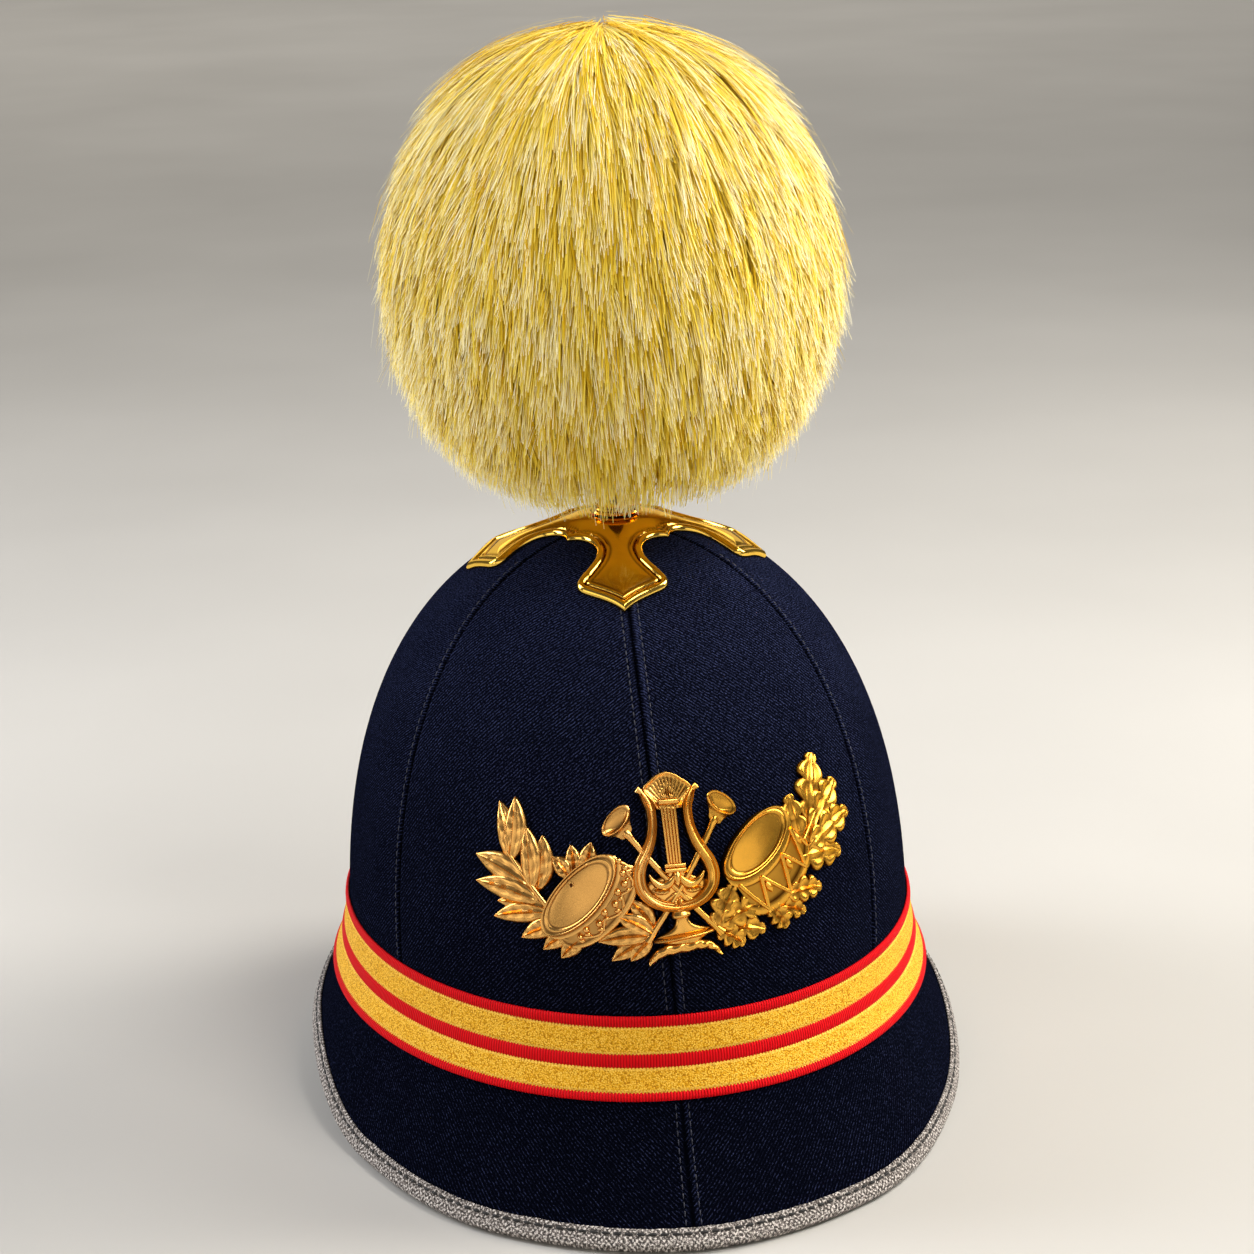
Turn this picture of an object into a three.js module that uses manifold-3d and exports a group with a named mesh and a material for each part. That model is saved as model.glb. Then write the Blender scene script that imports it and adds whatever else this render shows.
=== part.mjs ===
// A bandsman's full-dress helmet: a cloth-covered crown and brim, a striped band, a bound edge,
// a brass cross that carries a ball-shaped hair plume, and a gilt music badge on the front.
// Millimetres, +Z up. The front of the helmet faces -Y, and its brim rests on Z = 0.

import * as THREE from 'three';
import { mergeVertices } from 'three/addons/utils/BufferGeometryUtils.js';
import Module from 'manifold-3d';

const wasm = await Module();
wasm.setup();

// Driving dimensions

const GAP = 0.3;
const WALL = 2.6;
const WELD = 1e-4;
const SLOPE_STEP = 0.01;
const HEIGHT_PASSES = 40;

// The crown is a dome on an oval. Its outline narrows with the height as a superellipse,
// and the oval grows rounder towards the top.
const CROWN = {
  halfWidth: 100,
  lengthRatio: 1.25,
  topRounding: 0.6,
  baseZ: 52,
  topZ: 201,
  shoulder: 2.37,
  flank: 2.19,
  bottomZ: 55,
};

// The seams between the six gores, as azimuths from the front, at the top and at the band.
const SEAMS = [
  { name: 'front', topDeg: -4.6, bandDeg: -0.4 },
  { name: 'right_front', topDeg: 55, bandDeg: 47 },
  { name: 'right_back', topDeg: 116, bandDeg: 118 },
  { name: 'back', topDeg: 176, bandDeg: 180 },
  { name: 'left_back', topDeg: 236, bandDeg: 240 },
  { name: 'left_front', topDeg: 295, bandDeg: 301 },
];
const SEAM_DEPTH = 0.9;
const SEAM_LIP = 0.25;
const SEAM_HALF_WIDTH = 1.7;
const GORE_COLUMNS = 7;
const RING_COLUMNS = 44;
const CROWN_ROWS = 11;
const CROWN_INNER_ROWS = 9;

// The band is conical: it stands out further from the crown at its lower edge.
const BAND = { topZ: 68.4, bottomZ: 41.5, flare: 6, base: 0.4, backDrop: 0.5 };
const STRIPES = [
  { name: 'red_top', share: 0.13, raised: 1.2 },
  { name: 'gold_top', share: 0.33, raised: 0.8 },
  { name: 'red_middle', share: 0.16, raised: 1.1 },
  { name: 'gold_bottom', share: 0.28, raised: 0.8 },
  { name: 'red_bottom', share: 0.1, raised: 1.2 },
];
const STRIPE_BEVEL = 0.012;

// The edge of the brim: how far it stands out from the crown, and how high it lies.
const BRIM_EDGE = [
  { azimuthDeg: 0, overhang: 31.2, height: 1.8 },
  { azimuthDeg: 30, overhang: 27.2, height: 1.8 },
  { azimuthDeg: 60, overhang: 18.2, height: 2.6 },
  { azimuthDeg: 90, overhang: 13.8, height: 19 },
  { azimuthDeg: 110, overhang: 12.5, height: 24 },
  { azimuthDeg: 130, overhang: 16, height: 13 },
  { azimuthDeg: 155, overhang: 26.5, height: 1.8 },
  { azimuthDeg: 180, overhang: 31.2, height: 1.8 },
];
const BRIM_EASE = 0.5;
const BRIM_SPREAD = 0.35;
const BRIM_SPLIT = 0.25;

// The braid folded over the edge of the brim, from a share of the brim's depth to its edge.
const BINDING = { fromShare: 0.92, thickness: 1.0, round: 0.6, pressedBelow: 0.95 };
const BRIM_SHARES = [0, BRIM_SPLIT, 0.58, BINDING.fromShare, 1];

// The brass cross on top, turned a little with the crown. Each arm runs from the cusps between the arms
// to its tip, and a column says how far a corner draws in along the arm for its raised border.
const CROSS = { turnDeg: -5, back: -2, plate: 1, border: 0.7, borderWidth: 2.3, bossTopZ: 204.4 };
const BOSS = [
  { radius: 0, z: CROWN.topZ - 8 },
  { radius: 21, z: CROWN.topZ - 8 },
  { radius: 22, z: CROWN.topZ - 1.2 },
  { radius: 15.8, z: CROWN.topZ + 1 },
  { radius: 10.5, z: CROSS.bossTopZ },
  { radius: 0, z: CROSS.bossTopZ },
];
const CROSS_ARMS = [
  { name: 'front', reach: 59 },
  { name: 'right', reach: 52 },
  { name: 'back', reach: 59 },
  { name: 'left', reach: 52 },
];
const ARM_OUTLINE = [
  { along: 17.3, half: 17.3, draw: 0.7 },
  { along: 20.5, half: 11, draw: 0.5 },
  { along: 29, half: 7.6, draw: 0.5 },
  { along: 39.5, half: 11, draw: 0.5 },
  { along: 44, half: 14.6, draw: 0.5 },
  { along: 48.5, half: 11, draw: 0.5 },
  { along: 52, half: 5.2, draw: 0.5 },
];
const TIP_DRAW = 2;
const MOST_INSET = 0.7;
const ARM_TIP = 56;

// The ring on the cross and the post that stands in it.
const SOCKET = { outer: 9, waist: 7.6, height: 4.2, grooveLow: 1.5, grooveHigh: 2.7, sides: 16 };
const STEM = { radius: 3.6, topZ: 240, sides: 12 };

// The plume is a ball of hair, fuller below: a head with tiers of locks that lie over it downwards.
const PLUME = { centreZ: 283, radius: 75.5, up: 87, down: 75, fullness: 0.8, bottomHole: 12 };
const PLUME_HEAD = { columns: 12, rows: 8 };
const LOCK_TIERS = [
  { name: 'tuft', count: 6, fromDeg: 3, toDeg: 62, width: 34, thick: 11.5, lift: 3.5 },
  { name: 'upper', count: 9, fromDeg: 36, toDeg: 104, width: 38, thick: 10.5, lift: 4.5 },
  { name: 'middle', count: 10, fromDeg: 72, toDeg: 140, width: 36, thick: 10.5, lift: 4.5 },
  { name: 'lower', count: 7, fromDeg: 112, toDeg: 160, width: 28, thick: 9.5, lift: 3.5 },
];
const LOCK_PROFILE = [
  { along: 0.3, half: 0.85 },
  { along: 0.62, half: 1 },
  { along: 0.86, half: 0.5 },
];
const LOCK_ROOT = 6.5;
const LOCK_STAGGER = 0.5;
const POLE_SPREAD = 0.25;

// The badge is drawn flat, u across, v up and w away from the cloth, and is then bent round the crown.
const BADGE = { azimuthDeg: 1, centreZ: 112, arcRadius: 98.5, backW: -2, seat: 0.35 };
const LYRE = [
  { v: 30.4, outer: 2.6, inner: null },
  { v: 28.9, outer: 5.6, inner: null },
  { v: 26.6, outer: 8.2, inner: null },
  { v: 24.9, outer: 10.6, inner: null },
  { v: 22.4, outer: 8.6, inner: null },
  { v: 20.3, outer: 7, inner: 3.6 },
  { v: 14.6, outer: 6.8, inner: 4.1 },
  { v: 9.2, outer: 9.6, inner: 6.6 },
  { v: 4, outer: 13.2, inner: 9.2 },
  { v: -0.4, outer: 14.8, inner: 8.4 },
  { v: -5.4, outer: 13.2, inner: null },
  { v: -9.1, outer: 8.4, inner: null },
  { v: -10.6, outer: 3, inner: null },
];
const LYRE_TOP_W = 3.2;
const LYRE_SILL = { v: 2.2, u: 4.2, dipV: -1.6, dipU: 6.4 };
const LYRE_BARS = [
  { name: 'strings', u: 0, v: 12.6, width: 6.2, height: 18.8, topW: 2.6 },
  { name: 'upper_bar', u: 0, v: 21.6, width: 8.6, height: 1.8, topW: 3.8 },
  { name: 'lower_bar', u: 0, v: 3.4, width: 8.6, height: 2, topW: 3.8 },
];
const PEDESTAL = [
  { v: -9.6, half: 2.8 },
  { v: -13.4, half: 2.1 },
  { v: -15.2, half: 4.2 },
  { v: -16.6, half: 9 },
  { v: -18.4, half: 8.2 },
  { v: -20, half: 4.2 },
  { v: -21.4, half: 5.4 },
  { v: -23.2, half: 11 },
  { v: -25.6, half: 11.8 },
  { v: -23.8, half: 4.6 },
];
const PEDESTAL_TOP_W = 2.8;
const TRUMPETS = [
  { name: 'left', bell: [-18.8, 17.3], major: [4.9, 3.9], minor: [2.3, -2.7], end: [13.8, -18.2] },
  { name: 'right', bell: [17.7, 19.6], major: [4.5, -4.1], minor: [-2.4, -2.7], end: [-10.7, -19.1] },
];
const ROD = { sides: 5, steps: 3 };
const TRUMPET = { sides: 8, tube: 1.25, tubeW: 1.3, neckShift: 2.3 };
const BELL = [
  { radius: 0, w: 2.6, slide: 0.2 },
  { radius: 0.8, w: 3.8, slide: 0 },
  { radius: 1, w: 4.2, slide: 0 },
  { radius: 0.9, w: 2.8, slide: 0.25 },
  { radius: 0.34, w: 2.3, slide: 1 },
  { radius: 0.34, w: BADGE.backW, slide: 1 },
  { radius: 0, w: BADGE.backW, slide: 0.6 },
];
const DRUMS = [
  { name: 'left', centre: [-31.6, -5.4], major: [10.8, 12.3], minor: [5.3, -4.4], shift: [7.4, -3.6] },
  { name: 'right', centre: [27.8, 6.5], major: [12.8, 8.4], minor: [4.7, -4.8], shift: [9.4, -13] },
];
const DRUM = { headW: 4.4, rimW: 5.2, rimInner: 0.86, shell: 0.96, shellW: 4, footW: 1.4, sides: 12 };
const LAUREL_LEAVES = [
  { base: [-56, 3], tip: [-62, 20], width: 6 },
  { base: [-56, 3], tip: [-56, 22], width: 6.6 },
  { base: [-48, -5], tip: [-51, 14], width: 6 },
  { base: [-46, -5], tip: [-45, 12], width: 6.2 },
  { base: [-48, -4], tip: [-69, 3], width: 6.8 },
  { base: [-45, -8], tip: [-68, -5], width: 6 },
  { base: [-42, -10], tip: [-60, -10], width: 5.4 },
  { base: [-42, -11], tip: [-61, -15], width: 5.4 },
  { base: [-38, -14], tip: [-51, -20], width: 5 },
  { base: [-34, -16], tip: [-44, -23], width: 4.8 },
  { base: [-31, -18], tip: [-38, -25], width: 4.8 },
  { base: [-35, 0], tip: [-41, 6], width: 4.6 },
  { base: [-34, 0], tip: [-35, 10], width: 4.8 },
  { base: [-31, 2], tip: [-28, 11], width: 5 },
  { base: [-9, -17], tip: [-26, -19], width: 5 },
  { base: [-9, -18], tip: [-22, -25], width: 5 },
  { base: [-9, -18], tip: [-16, -25], width: 4.6 },
  { base: [-8, -17], tip: [-20, -11], width: 5.2 },
  { base: [-8, -15], tip: [-16, -6], width: 5.2 },
];
const OAK_LEAVES = [
  { base: [53, 7], tip: [62, 27], width: 11 },
  { base: [52, 5], tip: [69, 17], width: 9.6 },
  { base: [50, 1], tip: [71, 7], width: 9 },
  { base: [47, 0], tip: [46, 18], width: 9.6 },
  { base: [43, -1], tip: [64, -4], width: 9 },
  { base: [38, -11], tip: [52, -12], width: 6.8 },
  { base: [33, -14], tip: [45, -18], width: 6.2 },
  { base: [31, -13], tip: [37, -21], width: 6.2 },
  { base: [12, -17], tip: [19, -4], width: 7.8 },
  { base: [12, -17], tip: [29, -20], width: 7.6 },
  { base: [12, -17], tip: [21, -23], width: 6.4 },
  { base: [13, -16], tip: [27, -11], width: 7.6 },
];
const STALKS = [
  { name: 'laurel', from: [-38, -14], to: [-57.5, 6] },
  { name: 'oak', from: [38, -6], to: [56, 11] },
];
const STALK = { radius: 1.1, w: 0.9 };
const LEAF_RIDGE_W = 2.6;
const LEAF_EDGE_W = -0.6;
const LEAF_SPREAD = 1.35;
const LAUREL_PROFILE = [
  { along: 0.3, half: 0.92 },
  { along: 0.68, half: 0.9 },
];
const OAK_PROFILE = [
  { along: 0.16, half: 0.75 },
  { along: 0.3, half: 0.5 },
  { along: 0.46, half: 1 },
  { along: 0.6, half: 0.6 },
  { along: 0.76, half: 0.85 },
];

const radians = THREE.MathUtils.degToRad;
const lerp = THREE.MathUtils.lerp;
const clamp = THREE.MathUtils.clamp;

// Closed bodies

/** Welds a geometry into one closed body whose faces point out. */
function closedBody(geometry) {
  const plain = geometry.clone();
  plain.deleteAttribute('normal');
  plain.deleteAttribute('uv');
  const welded = mergeVertices(plain, WELD);
  const position = welded.getAttribute('position');
  const corners = [0, 1, 2].map(() => new THREE.Vector3());
  const kept = [];
  let volume = 0;
  for (let i = 0; i < welded.index.count; i += 3) {
    const [a, b, c] = [0, 1, 2].map((k) => welded.index.getX(i + k));
    if (a === b || b === c || c === a) continue;
    kept.push(a, b, c);
    [a, b, c].forEach((vertex, k) => corners[k].fromBufferAttribute(position, vertex));
    volume += corners[0].dot(corners[1].clone().cross(corners[2]));
  }
  if (volume < 0) kept.reverse();
  welded.setIndex(kept);
  return welded;
}

/** Turns a geometry into a solid that can be joined and cut. */
function toSolid(geometry) {
  const body = closedBody(geometry);
  const mesh = new wasm.Mesh({
    numProp: 3,
    vertProperties: new Float32Array(body.getAttribute('position').array),
    triVerts: new Uint32Array(body.index.array),
  });
  return new wasm.Manifold(mesh);
}

/** Turns a joined or cut solid back into a geometry. */
function toGeometry(solid) {
  const mesh = solid.getMesh();
  const geometry = new THREE.BufferGeometry();
  geometry.setAttribute('position', new THREE.Float32BufferAttribute(mesh.vertProperties, 3));
  geometry.setIndex(new THREE.Uint32BufferAttribute(mesh.triVerts, 1));
  return geometry;
}

/** Joins a list of geometries into one solid. */
function joined(geometries) {
  return geometries.map(toSolid).reduce((whole, piece) => whole.add(piece));
}

/** Moves every vertex of a geometry to the place that a function gives for it. */
function reshaped(geometry, place) {
  const position = geometry.getAttribute('position');
  const point = new THREE.Vector3();
  for (let i = 0; i < position.count; i += 1) {
    point.fromBufferAttribute(position, i);
    const moved = place(point);
    position.setXYZ(i, moved.x, moved.y, moved.z);
  }
  return geometry;
}

/** A turned ring of rows and columns, each vertex placed by a function of its column and row. */
function turnedGrid(rowCount, columnCount, place, closesOnItself) {
  const lastRow = closesOnItself ? rowCount : rowCount - 1;
  const profile = Array.from({ length: lastRow + 1 }, (unused, row) => new THREE.Vector2(1, row));
  const geometry = new THREE.LatheGeometry(profile, columnCount);
  const position = geometry.getAttribute('position');
  for (let column = 0; column <= columnCount; column += 1) {
    for (let row = 0; row <= lastRow; row += 1) {
      const point = place(column % columnCount, row % rowCount);
      position.setXYZ(column * profile.length + row, point.x, point.y, point.z);
    }
  }
  return geometry;
}

/** A three-sided spindle one unit long and two wide: a flat back, and a ridge one unit high. */
function spindle(profile) {
  const outline = [
    new THREE.Vector2(0, 0),
    ...profile.map(({ along, half }) => new THREE.Vector2(half, along)),
    new THREE.Vector2(0, 1),
  ];
  const width = Math.sin(Math.PI / 3);
  return reshaped(new THREE.LatheGeometry(outline, 3), ({ x, y, z }) => (
    new THREE.Vector3(x / width, y, Math.sqrt(Math.max(z, 0)))
  ));
}

/** A flat shape with straight sides between two heights. */
function plaque(shape, low, high) {
  const geometry = new THREE.ExtrudeGeometry(shape, { depth: high - low, bevelEnabled: false });
  return geometry.translate(0, 0, low);
}

// The surface of the crown

/** Half width and half length of the crown's oval at a height, drawn in by an inset. */
function crownOval(z, inset = 0) {
  const span = CROWN.topZ - inset - CROWN.baseZ;
  const rise = clamp((z - CROWN.baseZ) / span, 0, 1);
  const shrink = (1 - rise ** CROWN.shoulder) ** (1 / CROWN.flank);
  const stretch = 1 + (CROWN.lengthRatio - 1) * (1 - CROWN.topRounding * rise ** 2);
  const width = (CROWN.halfWidth - inset) * shrink;
  const length = (CROWN.halfWidth * stretch - inset) * shrink;
  return { width, length };
}

/** How far the shell stands out from the crown's oval behind the band. */
function shellFlare(z) {
  const drop = clamp((BAND.topZ - z) / (BAND.topZ - BAND.bottomZ), 0, 1);
  return BAND.flare * drop ** 2;
}

/** A point on the shell at an azimuth from the front, moved out level by an offset. */
function shellPoint(azimuth, z, offset = 0, inset = 0) {
  const { width, length } = crownOval(z, inset);
  const out = shellFlare(z) + offset;
  return new THREE.Vector3((width + out) * Math.sin(azimuth), -(length + out) * Math.cos(azimuth), z);
}

/** A point a given distance off the cloth of the crown, square to the surface. */
function offCloth(azimuth, z, distance) {
  const here = shellPoint(azimuth, z);
  const along = shellPoint(azimuth + SLOPE_STEP, z).sub(shellPoint(azimuth - SLOPE_STEP, z));
  const up = shellPoint(azimuth, z + SLOPE_STEP).sub(shellPoint(azimuth, z - SLOPE_STEP));
  return here.addScaledVector(along.cross(up).normalize(), distance);
}

/** Height of the crown's cloth over a point of the plan. */
function clothHeight(x, y) {
  let low = CROWN.baseZ;
  let high = CROWN.topZ;
  for (let pass = 0; pass < HEIGHT_PASSES; pass += 1) {
    const middle = (low + high) / 2;
    const { width, length } = crownOval(middle);
    if ((x / width) ** 2 + (y / length) ** 2 < 1) low = middle;
    else high = middle;
  }
  return low;
}

// Columns round the helmet

/** Azimuth and seam relief of every column at a height between the band and the top. */
function columnsAt(z) {
  const rise = clamp((z - BAND.topZ) / (CROWN.topZ - BAND.topZ), 0, 1);
  const azimuths = SEAMS.map((seam) => lerp(seam.bandDeg, seam.topDeg, rise));
  const lipDeg = THREE.MathUtils.radToDeg(SEAM_HALF_WIDTH / CROWN.halfWidth);
  return SEAMS.flatMap((seam, index) => {
    const start = azimuths[index];
    const next = azimuths[(index + 1) % SEAMS.length];
    const end = next > start ? next : next + 360;
    const inside = Array.from({ length: GORE_COLUMNS - 1 }, (unused, step) => {
      const share = step / (GORE_COLUMNS - 2);
      const isLip = step === 0 || step === GORE_COLUMNS - 2;
      return { azimuth: lerp(start + lipDeg, end - lipDeg, share), relief: isLip ? SEAM_LIP : 0 };
    });
    return [{ azimuth: start, relief: -SEAM_DEPTH }, ...inside];
  }).map((column) => ({ azimuth: radians(column.azimuth), relief: column.relief }));
}

const CROWN_COLUMNS = SEAMS.length * GORE_COLUMNS;

/** Azimuth of an even column of the band and the brim. */
function ringAzimuth(column) {
  return (column / RING_COLUMNS) * Math.PI * 2;
}

// The crown

/** Height of a row of the crown: one below the band's top edge, the rest closer towards the top. */
function crownRowZ(row, rowCount, inset) {
  if (row === 0) return CROWN.bottomZ;
  const share = Math.sin(((row - 1) / (rowCount - 2)) * Math.PI * 0.5);
  return lerp(BAND.topZ, CROWN.topZ - inset, share);
}

function crownGeometry() {
  const rowCount = CROWN_ROWS + CROWN_INNER_ROWS;
  return turnedGrid(rowCount, CROWN_COLUMNS, (column, row) => {
    const isOuter = row < CROWN_ROWS;
    const step = isOuter ? CROWN_ROWS - 1 - row : row - CROWN_ROWS;
    const inset = isOuter ? 0 : WALL;
    const z = crownRowZ(step, isOuter ? CROWN_ROWS : CROWN_INNER_ROWS, inset);
    const { azimuth, relief } = columnsAt(z)[column];
    const fade = clamp(crownOval(z, inset).width / CROWN.halfWidth, 0, 1);
    const shows = isOuter && z > BAND.topZ;
    return shellPoint(azimuth, z, shows ? relief * fade : 0, inset);
  }, false);
}

// The brim

/** Overhang and height of the brim's edge at an azimuth, eased between the rows of its table. */
function brimEdge(azimuth) {
  const turn = THREE.MathUtils.euclideanModulo(THREE.MathUtils.radToDeg(azimuth), 360);
  const side = Math.min(turn, 360 - turn);
  const next = BRIM_EDGE.findIndex((row) => row.azimuthDeg >= side && row.azimuthDeg > 0);
  const [from, to] = [BRIM_EDGE[next - 1], BRIM_EDGE[next]];
  const share = (side - from.azimuthDeg) / (to.azimuthDeg - from.azimuthDeg);
  const eased = lerp(share, THREE.MathUtils.smoothstep(share, 0, 1), BRIM_EASE);
  return { overhang: lerp(from.overhang, to.overhang, eased), height: lerp(from.height, to.height, eased) };
}

/** Offset and height of the middle of the brim's wall, from the crown's edge to the brim's edge. */
function brimMiddle(azimuth, share) {
  const joinZ = CROWN.bottomZ - 2 * GAP;
  const edge = brimEdge(azimuth);
  if (share < BRIM_SPLIT) {
    const z = lerp(joinZ, BAND.bottomZ, share / BRIM_SPLIT);
    return new THREE.Vector2(shellFlare(z) - WALL / 2, z);
  }
  const run = (share - BRIM_SPLIT) / (1 - BRIM_SPLIT);
  const start = BAND.flare - WALL / 2;
  const spread = lerp(run, run ** 2, BRIM_SPREAD);
  return new THREE.Vector2(lerp(start, edge.overhang, spread), lerp(BAND.bottomZ, edge.height, run));
}

/** Direction of the brim's slope at a share of its depth, as outward and upward parts. */
function brimSlope(azimuth, share) {
  const from = brimMiddle(azimuth, clamp(share - SLOPE_STEP, 0, 1));
  return brimMiddle(azimuth, clamp(share + SLOPE_STEP, 0, 1)).sub(from).normalize();
}

/** A point of the brim's section: along the slope from a place on it, and square to the slope. */
function brimPoint(azimuth, share, along, across) {
  const middle = brimMiddle(azimuth, share);
  const slope = brimSlope(azimuth, share);
  const out = middle.x + slope.x * along - slope.y * across;
  const z = middle.y + slope.y * along + slope.x * across;
  const { width, length } = crownOval(CROWN.baseZ);
  return new THREE.Vector3((width + out) * Math.sin(azimuth), -(length + out) * Math.cos(azimuth), z);
}

function brimGeometry() {
  const outer = BRIM_SHARES.map((share) => ({ share, across: WALL / 2 }));
  const inner = BRIM_SHARES.map((share) => ({ share, across: -WALL / 2 })).reverse();
  const section = [...outer, ...inner];
  return turnedGrid(section.length, RING_COLUMNS, (column, row) => {
    const { share, across } = section[row];
    return brimPoint(ringAzimuth(column), share, 0, across);
  }, true);
}

// The braid round the edge of the brim, flattened underneath where the helmet rests on it

function bindingGeometry() {
  const inner = WALL / 2 + GAP;
  const outer = inner + BINDING.thickness;
  const end = GAP + BINDING.thickness;
  const upperHalf = [
    { share: BINDING.fromShare, along: 0, across: inner },
    { share: BINDING.fromShare, along: 0, across: outer - BINDING.round },
    { share: BINDING.fromShare, along: BINDING.round, across: outer },
    { share: 1, along: -BINDING.round, across: outer },
    { share: 1, along: end - BINDING.round, across: inner },
  ];
  const lowerHalf = upperHalf.map((corner) => ({ ...corner, across: -corner.across })).reverse();
  const inside = [{ share: 1, along: GAP, across: -inner }, { share: 1, along: GAP, across: inner }];
  const section = [...upperHalf, { share: 1, along: end, across: 0 }, ...lowerHalf, ...inside];
  return turnedGrid(section.length, RING_COLUMNS, (column, row) => {
    const { share, along, across } = section[row];
    const point = brimPoint(ringAzimuth(column), share, along, across);
    const isOutside = row < section.length - inside.length;
    if (isOutside && point.z < BINDING.pressedBelow) point.z = 0;
    return point;
  }, true);
}

// The striped band

function bandGeometry() {
  let start = 0;
  const face = STRIPES.flatMap(({ share, raised }) => {
    const rows = [
      { drop: start + STRIPE_BEVEL, raised },
      { drop: start + share - STRIPE_BEVEL, raised },
    ];
    start += share;
    return rows;
  });
  const back = [{ drop: 1, raised: 0 }, { drop: BAND.backDrop, raised: 0 }];
  const section = [{ drop: 0, raised: 0 }, ...face, ...back];
  return turnedGrid(section.length, RING_COLUMNS, (column, row) => {
    const { drop, raised } = section[row];
    const z = lerp(BAND.topZ, BAND.bottomZ, drop);
    return shellPoint(ringAzimuth(column), z, BAND.base + raised);
  }, true);
}

// The dome that brass pieces are cut back from, so that they seat on the cloth

function clothDome(seat) {
  const dome = turnedGrid(CROWN_ROWS + 1, CROWN_COLUMNS, (column, row) => {
    if (row === CROWN_ROWS) return new THREE.Vector3(0, 0, CROWN.bottomZ);
    const z = crownRowZ(CROWN_ROWS - 1 - row, CROWN_ROWS, 0);
    const { azimuth } = columnsAt(z)[column];
    const isTop = row === 0;
    const rise = (z - CROWN.bottomZ) / (CROWN.topZ - CROWN.bottomZ);
    const point = shellPoint(azimuth, z, isTop ? 0 : SEAM_LIP + seat);
    point.z += seat * (isTop ? 2 : rise);
    return point;
  }, false);
  return toSolid(dome);
}

// The brass cross

/** Corners of the cross's outline, drawn in by an inset. */
function crossOutline(inset) {
  return CROSS_ARMS.flatMap(({ reach }, arm) => {
    const angle = radians(CROSS.turnDeg + 90 * (arm - 1));
    const axis = new THREE.Vector2(Math.cos(angle), Math.sin(angle));
    const side = new THREE.Vector2(-axis.y, axis.x);
    const cusp = ARM_OUTLINE[0].along;
    const stretch = (reach - cusp) / (ARM_TIP - cusp);
    const corner = (along, half) => axis.clone().multiplyScalar(along).addScaledVector(side, half);
    const rows = ARM_OUTLINE.map(({ along, half, draw }) => ({
      along: cusp + (along - cusp) * stretch - inset * draw,
      half: half - Math.min(inset, half * MOST_INSET) * (along === cusp ? draw : 1),
    }));
    const right = rows.map(({ along, half }) => corner(along, -half));
    const left = rows.slice(1).reverse().map(({ along, half }) => corner(along, half));
    return [...right, corner(reach - inset * TIP_DRAW, 0), ...left];
  });
}

/** Lays a piece drawn flat on the plan over the dome of the crown. */
function laidOverTop(geometry) {
  return reshaped(geometry, ({ x, y, z }) => {
    const height = clothHeight(x, y);
    const riseX = clothHeight(x + SLOPE_STEP, y) - clothHeight(x - SLOPE_STEP, y);
    const riseY = clothHeight(x, y + SLOPE_STEP) - clothHeight(x, y - SLOPE_STEP);
    const normal = new THREE.Vector3(-riseX, -riseY, 2 * SLOPE_STEP).normalize();
    return new THREE.Vector3(x, y, height).addScaledVector(normal, z);
  });
}

function crossGeometry(dome) {
  const plateShape = new THREE.Shape(crossOutline(CROSS.borderWidth / 2));
  const borderShape = new THREE.Shape(crossOutline(0));
  borderShape.holes.push(new THREE.Path(crossOutline(CROSS.borderWidth)));
  const plate = plaque(plateShape, CROSS.back, CROSS.plate);
  const border = plaque(borderShape, CROSS.back, CROSS.plate + CROSS.border);
  const bossProfile = BOSS.map(({ radius, z }) => new THREE.Vector2(radius, z));
  const boss = new THREE.LatheGeometry(bossProfile, SOCKET.sides);
  boss.rotateX(Math.PI / 2);
  return toGeometry(joined([laidOverTop(plate), laidOverTop(border), boss]).subtract(dome));
}

// The ring on the cross, the post in it and the hole for the post

/** A plain round post on the axis between two heights. */
function axisPost(radius, lowZ, highZ) {
  const post = new THREE.CylinderGeometry(radius, radius, highZ - lowZ, STEM.sides);
  post.rotateX(Math.PI / 2);
  post.translate(0, 0, (lowZ + highZ) / 2);
  return post;
}

function socketGeometry() {
  const low = CROSS.bossTopZ + GAP;
  const bore = STEM.radius + GAP;
  const ring = new THREE.LatheGeometry([
    new THREE.Vector2(bore, low),
    new THREE.Vector2(SOCKET.outer, low),
    new THREE.Vector2(SOCKET.waist, low + SOCKET.grooveLow),
    new THREE.Vector2(SOCKET.outer, low + SOCKET.grooveHigh),
    new THREE.Vector2(SOCKET.outer, low + SOCKET.height),
    new THREE.Vector2(bore, low + SOCKET.height),
    new THREE.Vector2(bore, low),
  ], SOCKET.sides);
  return ring.rotateX(Math.PI / 2);
}

function stemGeometry() {
  return axisPost(STEM.radius, CROSS.bossTopZ + GAP, STEM.topZ);
}

// The plume

/** A point of the plume's ball, by its angle from the top, its azimuth and its height off the ball. */
function plumePoint(polar, azimuth, height) {
  const isUpper = Math.cos(polar) > 0;
  const vertical = (isUpper ? PLUME.up : PLUME.down) + height;
  const reach = (PLUME.radius + height) * Math.max(Math.sin(polar), 0) ** (isUpper ? 1 : PLUME.fullness);
  return new THREE.Vector3(
    reach * Math.sin(azimuth),
    -reach * Math.cos(azimuth),
    PLUME.centreZ + vertical * Math.cos(polar),
  );
}

/** A pointed lock with a ridge along it, thin at both ends. */
function lockGeometry(tier, azimuth) {
  return reshaped(spindle(LOCK_PROFILE), ({ x, y, z }) => {
    const polar = radians(lerp(tier.fromDeg, tier.toDeg, y));
    const spread = (x * tier.width) / 2 / (PLUME.radius * Math.max(Math.sin(polar), POLE_SPREAD));
    return plumePoint(polar, azimuth + spread, z * tier.thick - LOCK_ROOT + tier.lift * y ** 2);
  });
}

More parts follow.
